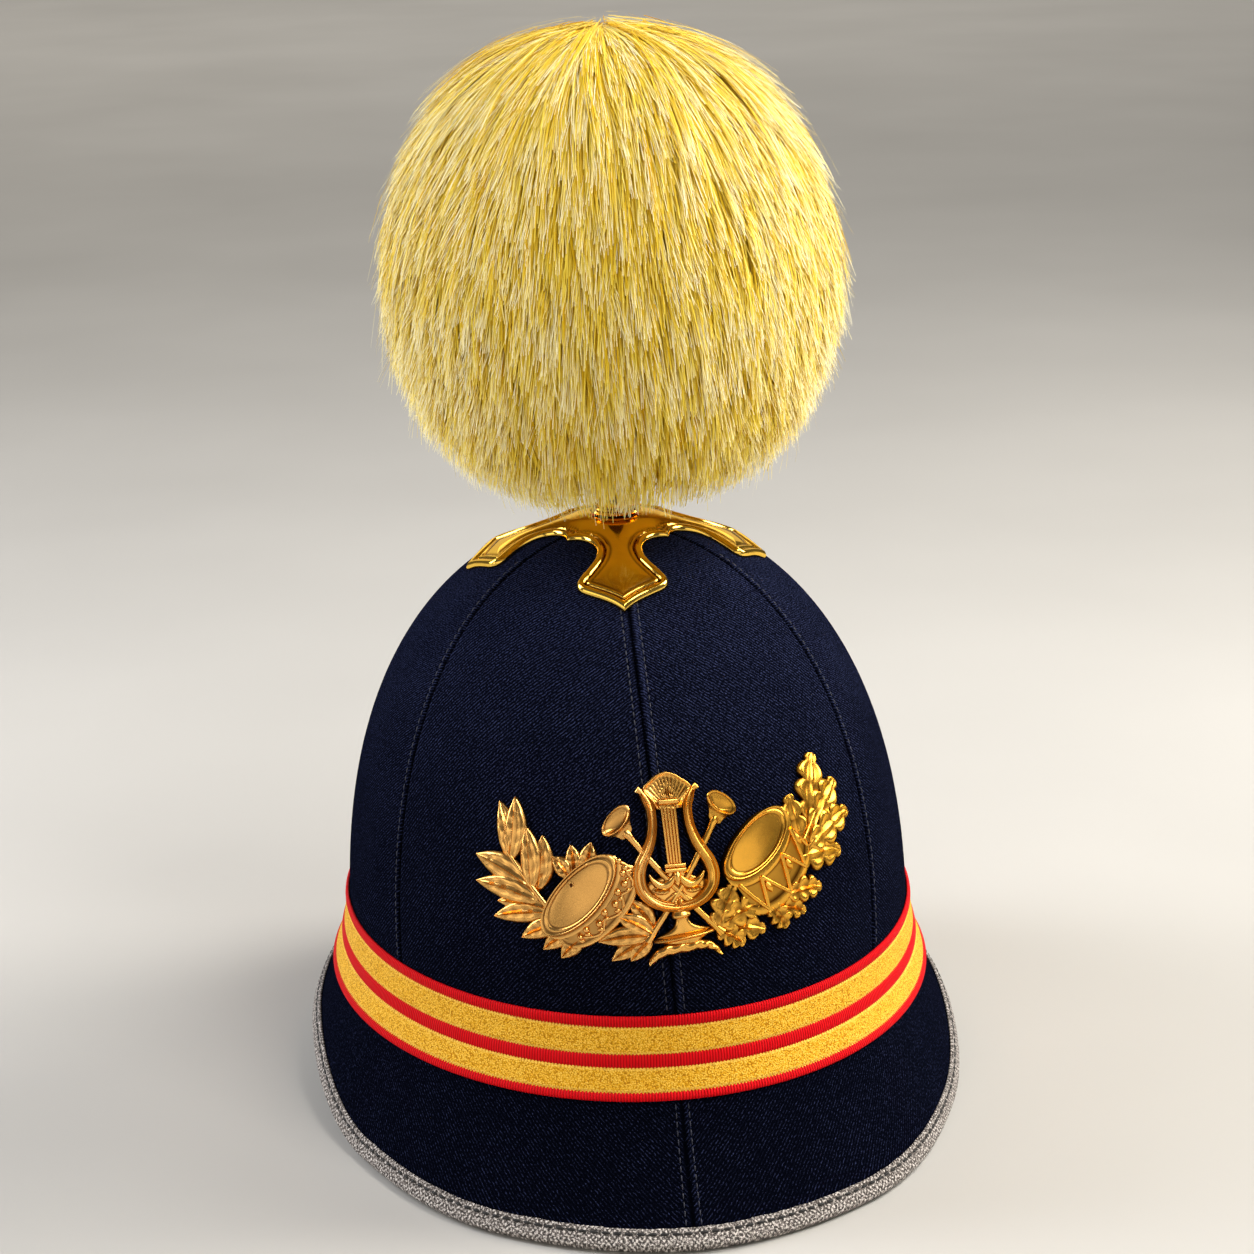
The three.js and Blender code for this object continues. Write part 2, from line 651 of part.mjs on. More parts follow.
function plumeGeometry() {
  const head = new THREE.SphereGeometry(1, PLUME_HEAD.columns, PLUME_HEAD.rows);
  reshaped(head, ({ x, y, z }) => plumePoint(Math.acos(clamp(y, -1, 1)), Math.atan2(x, z), 0));
  const locks = LOCK_TIERS.flatMap((tier, index) => Array.from({ length: tier.count }, (unused, lock) => (
    lockGeometry(tier, ((lock + index * LOCK_STAGGER) / tier.count) * Math.PI * 2)
  )));
  const low = CROWN.topZ;
  const seatZ = CROSS.bossTopZ + 2 * GAP + SOCKET.height;
  const socketRoom = axisPost(PLUME.bottomHole, low, seatZ + GAP);
  const bore = axisPost(STEM.radius + GAP, low, STEM.topZ + GAP);
  return toGeometry(joined([head, ...locks]).subtract(joined([socketRoom, bore])));
}

// The badge

/** Bends a piece drawn flat round the front of the crown. */
function bentRound(geometry) {
  return reshaped(geometry, ({ x, y, z }) => (
    offCloth(radians(BADGE.azimuthDeg) + x / BADGE.arcRadius, BADGE.centreZ + y, z)
  ));
}

/** Corners of a symmetric outline, counter-clockwise, from those on its right, listed downwards. */
function mirrored(corners) {
  return [...corners.toReversed(), ...corners.map(({ x, y }) => new THREE.Vector2(-x, y))];
}

function lyreGeometries() {
  const frame = new THREE.Shape(mirrored(LYRE.map(({ v, outer }) => new THREE.Vector2(outer, v))));
  const opening = LYRE.filter(({ inner }) => inner).map(({ v, inner }) => new THREE.Vector2(inner, v));
  const sill = [
    new THREE.Vector2(LYRE_SILL.dipU, LYRE_SILL.dipV),
    new THREE.Vector2(LYRE_SILL.u, LYRE_SILL.v),
  ];
  frame.holes.push(new THREE.Path(mirrored([...opening, ...sill])));
  const bars = LYRE_BARS.map(({ u, v, width, height, topW }) => {
    const bar = new THREE.BoxGeometry(width, height, topW - BADGE.backW);
    return bar.translate(u, v, (topW + BADGE.backW) / 2);
  });
  const pedestal = new THREE.Shape(mirrored(PEDESTAL.map(({ v, half }) => new THREE.Vector2(half, v))));
  return [
    plaque(frame, BADGE.backW, LYRE_TOP_W),
    ...bars,
    plaque(pedestal, BADGE.backW, PEDESTAL_TOP_W),
  ];
}

/** A turned piece whose circle becomes an oval, slid sideways in step with its depth. */
function oval(profile, { centre, major, minor, shift }, sides) {
  const points = profile.map(({ radius, w, slide }) => new THREE.Vector3(radius, w, slide));
  return turnedGrid(points.length, sides, (column, row) => {
    const angle = (column / sides) * Math.PI * 2;
    const { x: radius, y: w, z: slide } = points[row];
    const [across, along] = [radius * Math.cos(angle), radius * Math.sin(angle)];
    return new THREE.Vector3(
      centre[0] + major[0] * across + minor[0] * along + shift[0] * slide,
      centre[1] + major[1] * across + minor[1] * along + shift[1] * slide,
      w,
    );
  }, false);
}

function drumGeometries(drum) {
  const head = oval([
    { radius: 0, w: DRUM.headW, slide: 0 },
    { radius: DRUM.rimInner, w: DRUM.headW, slide: 0 },
    { radius: DRUM.rimInner, w: DRUM.rimW, slide: 0 },
    { radius: 1, w: DRUM.rimW, slide: 0 },
    { radius: 1, w: BADGE.backW, slide: 0 },
    { radius: 0, w: BADGE.backW, slide: 0 },
  ], drum, DRUM.sides);
  const shell = oval([
    { radius: 0, w: DRUM.shellW, slide: 0 },
    { radius: DRUM.shell, w: DRUM.shellW, slide: 0 },
    { radius: DRUM.shell, w: DRUM.footW, slide: 1 },
    { radius: DRUM.shell, w: BADGE.backW, slide: 1 },
    { radius: 0, w: BADGE.backW, slide: 1 },
  ], drum, DRUM.sides);
  return [head, shell];
}

/** A straight rod between two places of the flat drawing. */
function rod(from, to, radius, w) {
  const ring = Array.from({ length: ROD.sides }, (unused, side) => {
    const angle = (side / ROD.sides) * Math.PI * 2;
    return new THREE.Vector2(radius * Math.cos(angle), radius * Math.sin(angle));
  });
  const start = new THREE.Vector3(from[0], from[1], w);
  const extrudePath = new THREE.LineCurve3(start, new THREE.Vector3(to[0], to[1], w));
  return new THREE.ExtrudeGeometry(new THREE.Shape(ring), { steps: ROD.steps, extrudePath });
}

function trumpetGeometries({ bell, major, minor, end }) {
  const shift = [minor[0] * TRUMPET.neckShift, minor[1] * TRUMPET.neckShift];
  const horn = oval(BELL, { centre: bell, major, minor, shift }, TRUMPET.sides);
  const neck = [bell[0] + shift[0], bell[1] + shift[1]];
  return [horn, rod(neck, end, TRUMPET.tube, TRUMPET.tubeW)];
}

/** A leaf with sharp edges and a ridge along its middle. */
function leafGeometry({ base, tip, width }, profile) {
  const run = new THREE.Vector2(tip[0] - base[0], tip[1] - base[1]);
  const side = new THREE.Vector2(run.y, -run.x).normalize().multiplyScalar(LEAF_SPREAD * width / 2);
  return reshaped(spindle(profile), ({ x, y, z }) => new THREE.Vector3(
    base[0] + run.x * y + side.x * x,
    base[1] + run.y * y + side.y * x,
    lerp(LEAF_EDGE_W, LEAF_RIDGE_W, z),
  ));
}

function badgeGeometry(dome) {
  const flat = [
    ...lyreGeometries(),
    ...DRUMS.flatMap(drumGeometries),
    ...TRUMPETS.flatMap(trumpetGeometries),
    ...STALKS.map(({ from, to }) => rod(from, to, STALK.radius, STALK.w)),
    ...LAUREL_LEAVES.map((leaf) => leafGeometry(leaf, LAUREL_PROFILE)),
    ...OAK_LEAVES.map((leaf) => leafGeometry(leaf, OAK_PROFILE)),
  ];
  return toGeometry(joined(flat.map(bentRound)).subtract(dome));
}

// The assembled helmet

const NAVY_TWILL = { color: 0x171c33, roughness: 0.92, metalness: 0 };
const STRIPED_BRAID = { color: 0xd29a1e, roughness: 0.7, metalness: 0 };
const GREY_BRAID = { color: 0x9a9a96, roughness: 0.6, metalness: 0.1 };
const BRASS = { color: 0xc9a24a, roughness: 0.22, metalness: 1 };
const GILT = { color: 0xd0992f, roughness: 0.28, metalness: 1 };
const DARK_POST = { color: 0x4a2a1a, roughness: 0.7, metalness: 0 };
const YELLOW_HAIR = { color: 0xe2c45e, roughness: 0.6, metalness: 0 };

const helmet = new THREE.Group();

/** Adds a named piece with its own material. */
function addPiece(name, geometry, finish) {
  const body = closedBody(geometry);
  body.computeVertexNormals();
  const piece = new THREE.Mesh(body, new THREE.MeshStandardMaterial(finish));
  piece.name = name;
  helmet.add(piece);
}

const dome = clothDome(BADGE.seat);

addPiece('crown', crownGeometry(), NAVY_TWILL);
addPiece('brim', brimGeometry(), NAVY_TWILL);
addPiece('band', bandGeometry(), STRIPED_BRAID);
addPiece('brim_binding', bindingGeometry(), GREY_BRAID);
addPiece('cross_base', crossGeometry(dome), BRASS);
addPiece('plume_socket', socketGeometry(), BRASS);
addPiece('plume_stem', stemGeometry(), DARK_POST);
addPiece('plume', plumeGeometry(), YELLOW_HAIR);
addPiece('badge', badgeGeometry(dome), GILT);

export default helmet;
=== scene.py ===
"""The looks of a bandsman's full-dress helmet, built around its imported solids.

The pieces are worked out in millimetres from the same sizes as the solids. The front faces -Y,
+X is on the right of the picture, and the brim rests on Z = 0.
"""

from __future__ import annotations

import logging
import math
from dataclasses import dataclass, field
from enum import Enum
from functools import partial
from typing import Any, Callable, Sequence

import bmesh
import bpy
import numpy as np
from mathutils import Matrix, Vector

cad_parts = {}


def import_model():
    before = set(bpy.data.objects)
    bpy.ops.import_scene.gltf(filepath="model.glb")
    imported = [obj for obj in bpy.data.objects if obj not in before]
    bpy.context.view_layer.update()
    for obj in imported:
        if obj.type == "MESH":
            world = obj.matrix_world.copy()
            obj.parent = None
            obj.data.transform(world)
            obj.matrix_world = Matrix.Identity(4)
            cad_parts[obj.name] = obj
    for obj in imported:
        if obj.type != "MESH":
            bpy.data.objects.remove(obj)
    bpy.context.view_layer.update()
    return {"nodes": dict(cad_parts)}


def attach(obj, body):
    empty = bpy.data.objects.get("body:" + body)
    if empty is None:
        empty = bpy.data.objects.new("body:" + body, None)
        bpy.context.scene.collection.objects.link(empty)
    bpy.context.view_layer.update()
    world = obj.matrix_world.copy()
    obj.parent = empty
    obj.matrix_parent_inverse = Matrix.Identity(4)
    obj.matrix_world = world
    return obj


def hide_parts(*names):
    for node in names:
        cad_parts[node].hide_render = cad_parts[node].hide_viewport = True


Array = np.ndarray
Values = np.ndarray | float
Pair = tuple[float, float]
Row = tuple[float, ...]
Table = tuple[Row, ...]
Material = bpy.types.Material
Stops = Sequence[tuple[float, str]]
AddNode = Callable[..., bpy.types.NodeSocket]
Inputs = dict[Any, Any]

LOG = logging.getLogger("helmet")
MM = 0.001
FLAT = "flat_mm"
TINT = "tint"
HOLLOW = "hollow"
WELD_MM = 0.002
SLIVER_MM = 0.001


# Numbers and lines


def linear(code: str) -> tuple[float, float, float, float]:
    """Turns an sRGB hex colour into linear red, green, blue and alpha.

    Args:
        code: six hex digits after a hash sign.

    Returns:
        Four linear values from 0 to 1.
    """
    shares = [int(code[i : i + 2], 16) / 255 for i in (1, 3, 5)]
    lit = [s / 12.92 if s <= 0.04045 else ((s + 0.055) / 1.055) ** 2.4 for s in shares]
    return lit[0], lit[1], lit[2], 1.0


def smoothstep(low: float, high: float, value: Values) -> Array:
    """Eases from 0 at low to 1 at high."""
    share = np.clip((np.asarray(value, float) - low) / (high - low), 0, 1)
    return share * share * (3 - 2 * share)


def bell(value: Values, centre: float, half: float) -> Array:
    """A rounded bump one unit high about a centre."""
    return np.exp(-(((np.asarray(value, float) - centre) / half) ** 2))


def dome(across: Array, power: float = 0.5) -> Array:
    """A rounded section one unit high in the middle and 0 at -1 and 1, half round with a power of a half."""
    return np.clip(1 - across**2, 0, 1) ** power


def circle(count: int) -> Array:
    """Angles spread evenly round a circle."""
    return np.linspace(0, 2 * np.pi, count, endpoint=False)


def near_turn(angle: Array) -> Array:
    """The same angles, from minus half a turn to half a turn."""
    return (angle + np.pi) % (2 * np.pi) - np.pi


def bunched(count: int) -> Array:
    """Places from -1 to 1, closer together towards both ends."""
    return np.sin(np.linspace(-1, 1, count) * np.pi / 2)


def matched(*values: Values) -> list[Array]:
    """Brings values to one shape."""
    return np.broadcast_arrays(*(np.asarray(value, float) for value in values))


def stacked(*values: Values) -> Array:
    """Brings coordinates to one shape and puts them side by side in the last axis."""
    return np.stack(matched(*values), -1)


def unit(vectors: Array) -> Array:
    """Vectors brought to a length of one."""
    return vectors / np.maximum(np.linalg.norm(vectors, axis=-1, keepdims=True), 1e-9)


def smooth_line(corners: Sequence[Sequence[float]], steps: int) -> Array:
    """Draws a smooth line through corners.

    Args:
        corners: the places that the line goes through, of any number of columns.
        steps: how many steps lie between two corners.

    Returns:
        The points of the line, one row each.
    """
    given = np.asarray(corners, float)
    padded = np.vstack([2 * given[0] - given[1], given, 2 * given[-1] - given[-2]])
    t = np.linspace(0, 1, steps, endpoint=False)[:, None]
    runs = []
    for i in range(len(given) - 1):
        a, b, c, d = padded[i : i + 4]
        curve = (2 * a - 5 * b + 4 * c - d) * t**2 + (3 * b - a - 3 * c + d) * t**3
        runs.append(0.5 * (2 * b + (c - a) * t + curve))
    return np.vstack([*runs, given[-1:]])


def run_lengths(points: Array) -> Array:
    """Distance along a line at each of its points, from 0."""
    steps = np.linalg.norm(np.diff(points, axis=0), axis=1)
    return np.concatenate([[0.0], np.cumsum(steps)])


def line_distance(x: Array, y: Array, line: Array) -> Array:
    """Distance of points of a plane from a line of corners.

    Args:
        x: their first coordinates.
        y: their second coordinates.
        line: the corners, one row each.

    Returns:
        The distances, in the shape of x and y.
    """
    distance = np.full(np.shape(x), np.inf)
    for a, b in zip(line[:-1], line[1:]):
        run = b - a
        t = np.clip(((x - a[0]) * run[0] + (y - a[1]) * run[1]) / max(float(run @ run), 1e-12), 0, 1)
        distance = np.minimum(distance, np.hypot(x - a[0] - t * run[0], y - a[1] - t * run[1]))
    return distance


# Meshes


@dataclass
class Soup:
    """The points and faces of one piece, gathered in millimetres before its mesh is made."""

    points: list[Array] = field(default_factory=list)
    faces: list[Array] = field(default_factory=list)
    flats: list[Array] = field(default_factory=list)
    tints: list[Array] = field(default_factory=list)
    hollows: list[Array] = field(default_factory=list)
    count: int = 0

    def add(
        self,
        points: Array,
        faces: Array,
        flats: Array | None = None,
        tint: Values = 0.0,
        hollow: Values = 0.0,
    ) -> None:
        """Adds points and faces.

        Args:
            points: places, one row each.
            faces: corner numbers, one row for each face.
            flats: the flat coordinates of every corner, in step with faces.
            tint: a share of colour for every point.
            hollow: how deep every point lies in the relief, from 0 to 1.
        """
        for marks, value in ((self.tints, tint), (self.hollows, hollow)):
            marks.append(np.broadcast_to(np.asarray(value, float), (len(points),)))
        self.points.append(points)
        self.faces.append(faces + self.count)
        self.flats.append(np.zeros((*faces.shape, 2)) if flats is None else flats)
        self.count += len(points)

    def grid(
        self,
        points: Array,
        ring: bool = False,
        loop: bool = False,
        flat: Array | None = None,
        tint: Values = 0.0,
        hollow: Values = 0.0,
    ) -> None:
        """Adds a net of rows and columns.

        Args:
            points: places by row and column.
            ring: whether the last column meets the first.
            loop: whether the last row meets the first.
            flat: flat coordinates by row and column, with a row or column more where the net closes.
            tint: a share of colour, by row, by column or for every point.
            hollow: how deep the points lie in the relief, from 0 to 1, in the same way.
        """
        rows, columns = points.shape[:2]
        r = np.arange(rows if loop else rows - 1)[:, None]
        c = np.arange(columns if ring else columns - 1)[None, :]
        corners = [(r, c), (r, c + 1), (r + 1, c + 1), (r + 1, c)]
        quads = np.stack([(a % rows) * columns + b % columns for a, b in corners], -1).reshape(-1, 4)
        flats = None
        if flat is not None:
            flats = np.stack([flat[a, b] for a, b in corners], -2).reshape(-1, 4, 2)
        marks = [np.broadcast_to(np.asarray(mark, float), (rows, columns)).ravel() for mark in (tint, hollow)]
        self.add(points.reshape(-1, 3), quads, flats, *marks)

    def cap(self, ring: Array, centre: Array | None = None, tint: float = 0.0, hollow: float = 0.0) -> None:
        """Closes a ring of points with a fan about a centre, or about its own middle.

        Args:
            ring: the points, one row each.
            centre: where the fan meets.
            tint: a share of colour.
            hollow: how deep it lies in the relief, from 0 to 1.
        """
        total = len(ring)
        spokes = np.arange(total)
        fan = np.stack([spokes, (spokes + 1) % total, np.full(total, total)], -1)
        self.add(np.vstack([ring, ring.mean(0) if centre is None else centre]), fan, None, tint, hollow)

    def slab(self, top: Array, under: Array, tint: Values = 0.0, hollow: Values = 0.0) -> None:
        """Adds a closed body between two nets that lie one over the other.

        Args:
            top: places of the upper net, by row and column.
            under: places of the lower net.
            tint: a share of colour for every point of a net.
            hollow: how deep they lie in the relief, from 0 to 1.
        """
        single = [np.broadcast_to(np.asarray(mark, float), top.shape[:2]) for mark in (tint, hollow)]
        double = [np.concatenate([mark, mark[:, ::-1]], axis=1) for mark in single]
        both = np.concatenate([top, under[:, ::-1]], axis=1)
        self.grid(both, ring=True, tint=double[0], hollow=double[1])
        for end in (0, -1):
            self.grid(np.stack([top[end], under[end]]), tint=single[0][end])

    def tube(
        self,
        path: Array,
        radius: Values,
        sides: int = 6,
        up: Array | Sequence[float] = (0.31, 0.17, 0.93),
        tint: Values = 0.0,
    ) -> None:
        """Adds a round rod along a path, closed at both ends.

        Args:
            path: the middle of the rod, one row for each point.
            radius: its radius, one for all or one for each point.
            sides: how many sides it has.
            up: the direction that its first side is set out from, one for all or one for each point.
            tint: a share of colour, one for all or one for each point.
        """
        tangent = unit(np.gradient(path, axis=0))
        across = unit(np.cross(tangent, up))
        rise = np.cross(across, tangent)
        angle = circle(sides)[:, None]
        size, shade = (np.broadcast_to(np.asarray(mark, float), (len(path),)) for mark in (radius, tint))
        ring = across[:, None] * np.cos(angle) + rise[:, None] * np.sin(angle)
        net = path[:, None] + size[:, None, None] * ring
        self.grid(net, ring=True, tint=shade[:, None])
        for end in (0, -1):
            self.cap(net[end], path[end], float(shade[end]))

    def mesh(self, name: str) -> bpy.types.Mesh:
        """Makes the mesh with its flat coordinates and its marks.

        Args:
            name: the name of the mesh.

        Returns:
            The new mesh, in metres.
        """
        mesh = bpy.data.meshes.new(name)
        points = np.vstack(self.points) * MM
        corners = np.concatenate([faces.ravel() for faces in self.faces])
        sizes = np.concatenate([np.full(len(faces), faces.shape[1]) for faces in self.faces])
        starts = np.concatenate([[0], np.cumsum(sizes)[:-1]])
        mesh.vertices.add(len(points))
        mesh.vertices.foreach_set("co", points.astype(np.float32).ravel())
        mesh.loops.add(len(corners))
        mesh.loops.foreach_set("vertex_index", corners.astype(np.int32))
        mesh.polygons.add(len(sizes))
        mesh.polygons.foreach_set("loop_start", starts.astype(np.int32))
        mesh.update(calc_edges=True)
        flats = np.concatenate([flat.reshape(-1, 2) for flat in self.flats])
        mesh.uv_layers.new(name=FLAT).data.foreach_set("uv", flats.astype(np.float32).ravel())
        for mark, values in ((TINT, self.tints), (HOLLOW, self.hollows)):
            attribute = mesh.attributes.new(mark, "FLOAT", "POINT")
            attribute.data.foreach_set("value", np.concatenate(values).astype(np.float32))
        return mesh

    def piece(
        self,
        name: str,
        material: Material,
        slot: str,
        node: str | None = None,
        weld: bool = True,
        sharp_deg: float | None = None,
    ) -> None:
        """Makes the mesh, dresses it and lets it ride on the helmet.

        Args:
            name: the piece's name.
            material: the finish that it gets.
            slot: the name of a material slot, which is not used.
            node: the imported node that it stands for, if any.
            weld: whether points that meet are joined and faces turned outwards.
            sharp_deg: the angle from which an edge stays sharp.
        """
        mesh = self.mesh(name)
        if weld:
            work = bmesh.new()
            work.from_mesh(mesh)
            bmesh.ops.remove_doubles(work, verts=work.verts, dist=WELD_MM * MM)
            bmesh.ops.dissolve_degenerate(work, edges=work.edges, dist=SLIVER_MM * MM)
            bmesh.ops.recalc_face_normals(work, faces=work.faces)
            work.to_mesh(mesh)
            work.free()
        mesh.polygons.foreach_set("use_smooth", np.ones(len(mesh.polygons), bool))
        if sharp_deg is not None:
            mesh.set_sharp_from_angle(angle=math.radians(sharp_deg))
        mesh.materials.append(material)
        mesh.update()
        made = bpy.data.objects.new(name, mesh)
        bpy.context.scene.collection.objects.link(made)
        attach(made, "root")
        if node is not None:
            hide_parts(node)
        LOG.info("%s: %d faces", name, len(mesh.polygons))


# Finishes


def feed(tree: bpy.types.NodeTree, node: bpy.types.Node, inputs: Inputs) -> None:
    """Gives a node's inputs their values or links, by name or number.

    Args:
        tree: the node tree.
        node: the node.
        inputs: values or sockets by name or number.
    """
    for key, value in inputs.items():
        if isinstance(value, bpy.types.NodeSocket):
            tree.links.new(value, node.inputs[key])
        else:
            node.inputs[key].default_value = value


def add_node(
    tree: bpy.types.NodeTree,
    kind: str,
    inputs: Inputs | None = None,
    out: int | str = 0,
    stops: Stops = (),
    stepped: bool = False,
    **settings: Any,
) -> bpy.types.NodeSocket:
    """Adds a node with its settings, values and links.

    Args:
        tree: the node tree.
        kind: Blender's name of the node type, without the words that all of them begin with.
        inputs: values or sockets by the name or number of the input.
        out: the name or number of the output that is wanted.
        stops: place and hex colour of each stop of a colour ramp, in order.
        stepped: whether the colour ramp changes in steps.
        settings: other settings of the node.

    Returns:
        The output.
    """
    node = tree.nodes.new("ShaderNode" + kind)
    for key, value in settings.items():
        setattr(node, key, value)
    feed(tree, node, inputs or {})
    if stops:
        ramp = node.color_ramp
        ramp.interpolation = "CONSTANT" if stepped else "LINEAR"
        while len(ramp.elements) < len(stops):
            ramp.elements.new(1.0)
        for element, (place, code) in zip(ramp.elements, stops):
            element.position = place
            element.color = linear(code)
    return node.outputs[out]


def wave_scale(pitch: float) -> float:
    """Scale of a band texture whose bands repeat at a pitch, in the units of its coordinates."""
    return math.pi / 10 / pitch


@dataclass(frozen=True)
class Finish:
    """A finish: the name of its material, and how its surface is drawn."""

    name: str

    def draw(self, add: AddNode) -> Inputs:
        """Draws the surface.

        Args:
            add: adds a node to the material.

        Returns:
            Values or sockets by the name of the shader's input.
        """
        raise NotImplementedError

    def material(self) -> Material:
        """Builds the material.

        Returns:
            The material, with its shader fed.
        """
        material = bpy.data.materials.new(self.name)
        material.use_nodes = True
        tree = material.node_tree
        feed(tree, tree.nodes["Principled BSDF"], self.draw(partial(add_node, tree)))
        return material


@dataclass(frozen=True)
class WoolTwill(Finish):
    """Navy wool, woven as a twill: fine slanting ribs with dark furrows and a soft nap.

    The real ribs are some 0.7 mm apart, and are drawn coarser so that they show.
    """

    name: str = "navy_wool_twill_woven"
    furrow: str = "#03040b"
    ground: str = "#090b17"
    rib: str = "#363d60"
    sheen: str = "#8c98d0"
    slant_deg: float = 45.0
    rib_pitch: float = 1.05
    rib_depth: float = 0.16
    yarn: float = 0.85
    nap: float = 0.42
    blotch: float = 28.0

    def draw(self, add: AddNode) -> Inputs:
        """Draws ribs that the yarns break up, with the tint mark: paler on rubbed, raised seams and towards
        the top, darker in the seams' grooves, as rubbing and painted light and shade.

        Args:
            add: adds a node to the material.

        Returns:
            Values or sockets by the name of the shader's input.
        """
        flat = add("UVMap", uv_map=FLAT)
        slant = add("Mapping", {"Vector": flat, "Rotation": (0, 0, math.radians(self.slant_deg))})
        wave = {"Scale": wave_scale(self.rib_pitch), "Distortion": 2.2, "Detail": 2, "Detail Scale": 1.6}
        ribs = add("TexWave", {"Vector": slant, **wave}, "Fac", bands_direction="Y")
        stretched = add("Mapping", {"Vector": slant, "Scale": (1 / self.yarn, 1 / self.nap, 1)})
        yarns = add("TexNoise", {"Vector": stretched, "Scale": 1.0, "Detail": 2, "Roughness": 0.6}, "Fac")
        sharp = add("Math", {0: yarns, 1: 2.4, 2: -0.7}, operation="MULTIPLY_ADD", use_clamp=True)
        eased = add("Math", {0: ribs, 1: 0.75, 2: 0.25}, operation="MULTIPLY_ADD")
        broken = add("Math", {0: eased, 1: sharp}, operation="MULTIPLY")
        # The tint mark is rubbing and painted light and shade: paler on raised seams and towards the top of
        # the crown, darker in the seams' grooves and on the brim.
        worn_and_shaded = add("Attribute", out="Fac", attribute_name=TINT)
        blotches = add("TexNoise", {"Vector": flat, "Scale": 1 / self.blotch, "Detail": 3}, "Fac")
        drift = add("Math", {0: blotches, 1: 0.16, 2: -0.08}, operation="MULTIPLY_ADD")
        lit = add("Math", {0: worn_and_shaded, 1: 0.22, 2: drift}, operation="MULTIPLY_ADD")
        tone = add("Math", {0: broken, 1: lit}, operation="ADD")
        tones = ((0.1, self.furrow), (0.42, self.ground), (0.95, self.rib))
        return {
            "Base Color": add("ValToRGB", {0: tone}, stops=tones),
            "Normal": add("Bump", {"Height": broken, "Strength": 0.9, "Distance": self.rib_depth * MM}),
            "Roughness": 0.92,
            "Specular IOR Level": 0.0,
            "Sheen Weight": 0.012,
            "Sheen Roughness": 0.5,
            "Sheen Tint": linear(self.sheen),
        }


@dataclass(frozen=True)
class StripedBraid(Finish):
    """Woven braid: ribbed red silk between stripes of gold thread, whose edges are stepped by the weave."""

    name: str = "red_and_gold_braid_woven"
    edges: Row = (0.13, 0.46, 0.62, 0.90)
    selvedge: float = 0.03
    red: Stops = ((0.0, "#a80208"), (0.75, "#e00512"))
    gold: Stops = ((0.1, "#b4760e"), (0.42, "#ecae20"), (0.85, "#ffd964"))
    loop: str = "#ffd868"
    rib_pitch: float = 0.95
    seed_size: float = 0.54
    glint_size: float = 0.42
    step: float = 1.15
    jog: float = 0.026
    jog_middle: float = 0.0075
    depth: float = 0.28
    width: float = 27.0

    def draw(self, add: AddNode) -> Inputs:
        """Draws the stripes. The flat coordinates are millimetres along and a share across.

        Args:
            add: adds a node to the material.

        Returns:
            Values or sockets by the name of the shader's input.
        """
        along = add("SeparateXYZ", {0: add("UVMap", uv_map=FLAT)}, "X")
        share = along.node.outputs["Y"]
        steps = add("Math", {0: along, 1: self.step / 2}, operation="PINGPONG")
        stepped = add("Math", {0: steps, 1: self.jog, 2: share}, operation="MULTIPLY_ADD")
        even = add("Math", {0: stepped, 1: self.jog_middle}, operation="SUBTRACT")
        white, black = "#ffffff", "#000000"
        stripes = [(0.0, black), *zip(self.edges, (white, black, white, black))]
        selvedges = [(0.0, black)]
        for edge, into in zip(self.edges, (1, -1, 1, -1)):
            near, far = sorted((edge, edge + self.selvedge * into))
            selvedges.extend([(near, white), (far, black)])
        shown = add("ValToRGB", {0: even}, stops=stripes, stepped=True)
        row = add("ValToRGB", {0: even}, stops=selvedges, stepped=True)
        dots = add("Math", {0: steps, 1: 1.3 / self.step}, operation="MULTIPLY")
        loops = add("Math", {0: row, 1: dots}, operation="MULTIPLY")
        across = add("Math", {0: share, 1: self.width}, operation="MULTIPLY")
        real = add("CombineXYZ", {0: along, 1: across})
        wave = {"Scale": wave_scale(self.rib_pitch), "Distortion": 0.5, "Detail": 1, "Detail Scale": 1.5}
        ribs = add("TexWave", {"Vector": real, **wave}, "Fac", bands_direction="X")
        red = add("ValToRGB", {0: ribs}, stops=self.red)
        cells = {"Scale": 1 / self.seed_size, "Randomness": 0.85}
        seeds = add("TexVoronoi", {"Vector": real, **cells}, "Distance")
        glint = add("TexNoise", {"Vector": real, "Scale": 1 / self.glint_size, "Detail": 1}, "Fac")
        rise = add("Math", {0: glint, 1: seeds}, operation="SUBTRACT")
        lifted = add("Math", {0: rise, 1: 0.45}, operation="ADD")
        ground = add("ValToRGB", {0: lifted}, stops=self.gold)
        gold = add("Mix", {0: loops, 6: ground, 7: linear(self.loop)}, 2, data_type="RGBA")
        height = add("Mix", {0: shown, 2: ribs, 3: lifted}, data_type="FLOAT")
        return {
            "Base Color": add("Mix", {0: shown, 6: red, 7: gold}, 2, data_type="RGBA"),
            "Normal": add("Bump", {"Height": height, "Strength": 0.9, "Distance": self.depth * MM}),
            "Roughness": 0.6,
            "Specular IOR Level": 0.08,
        }


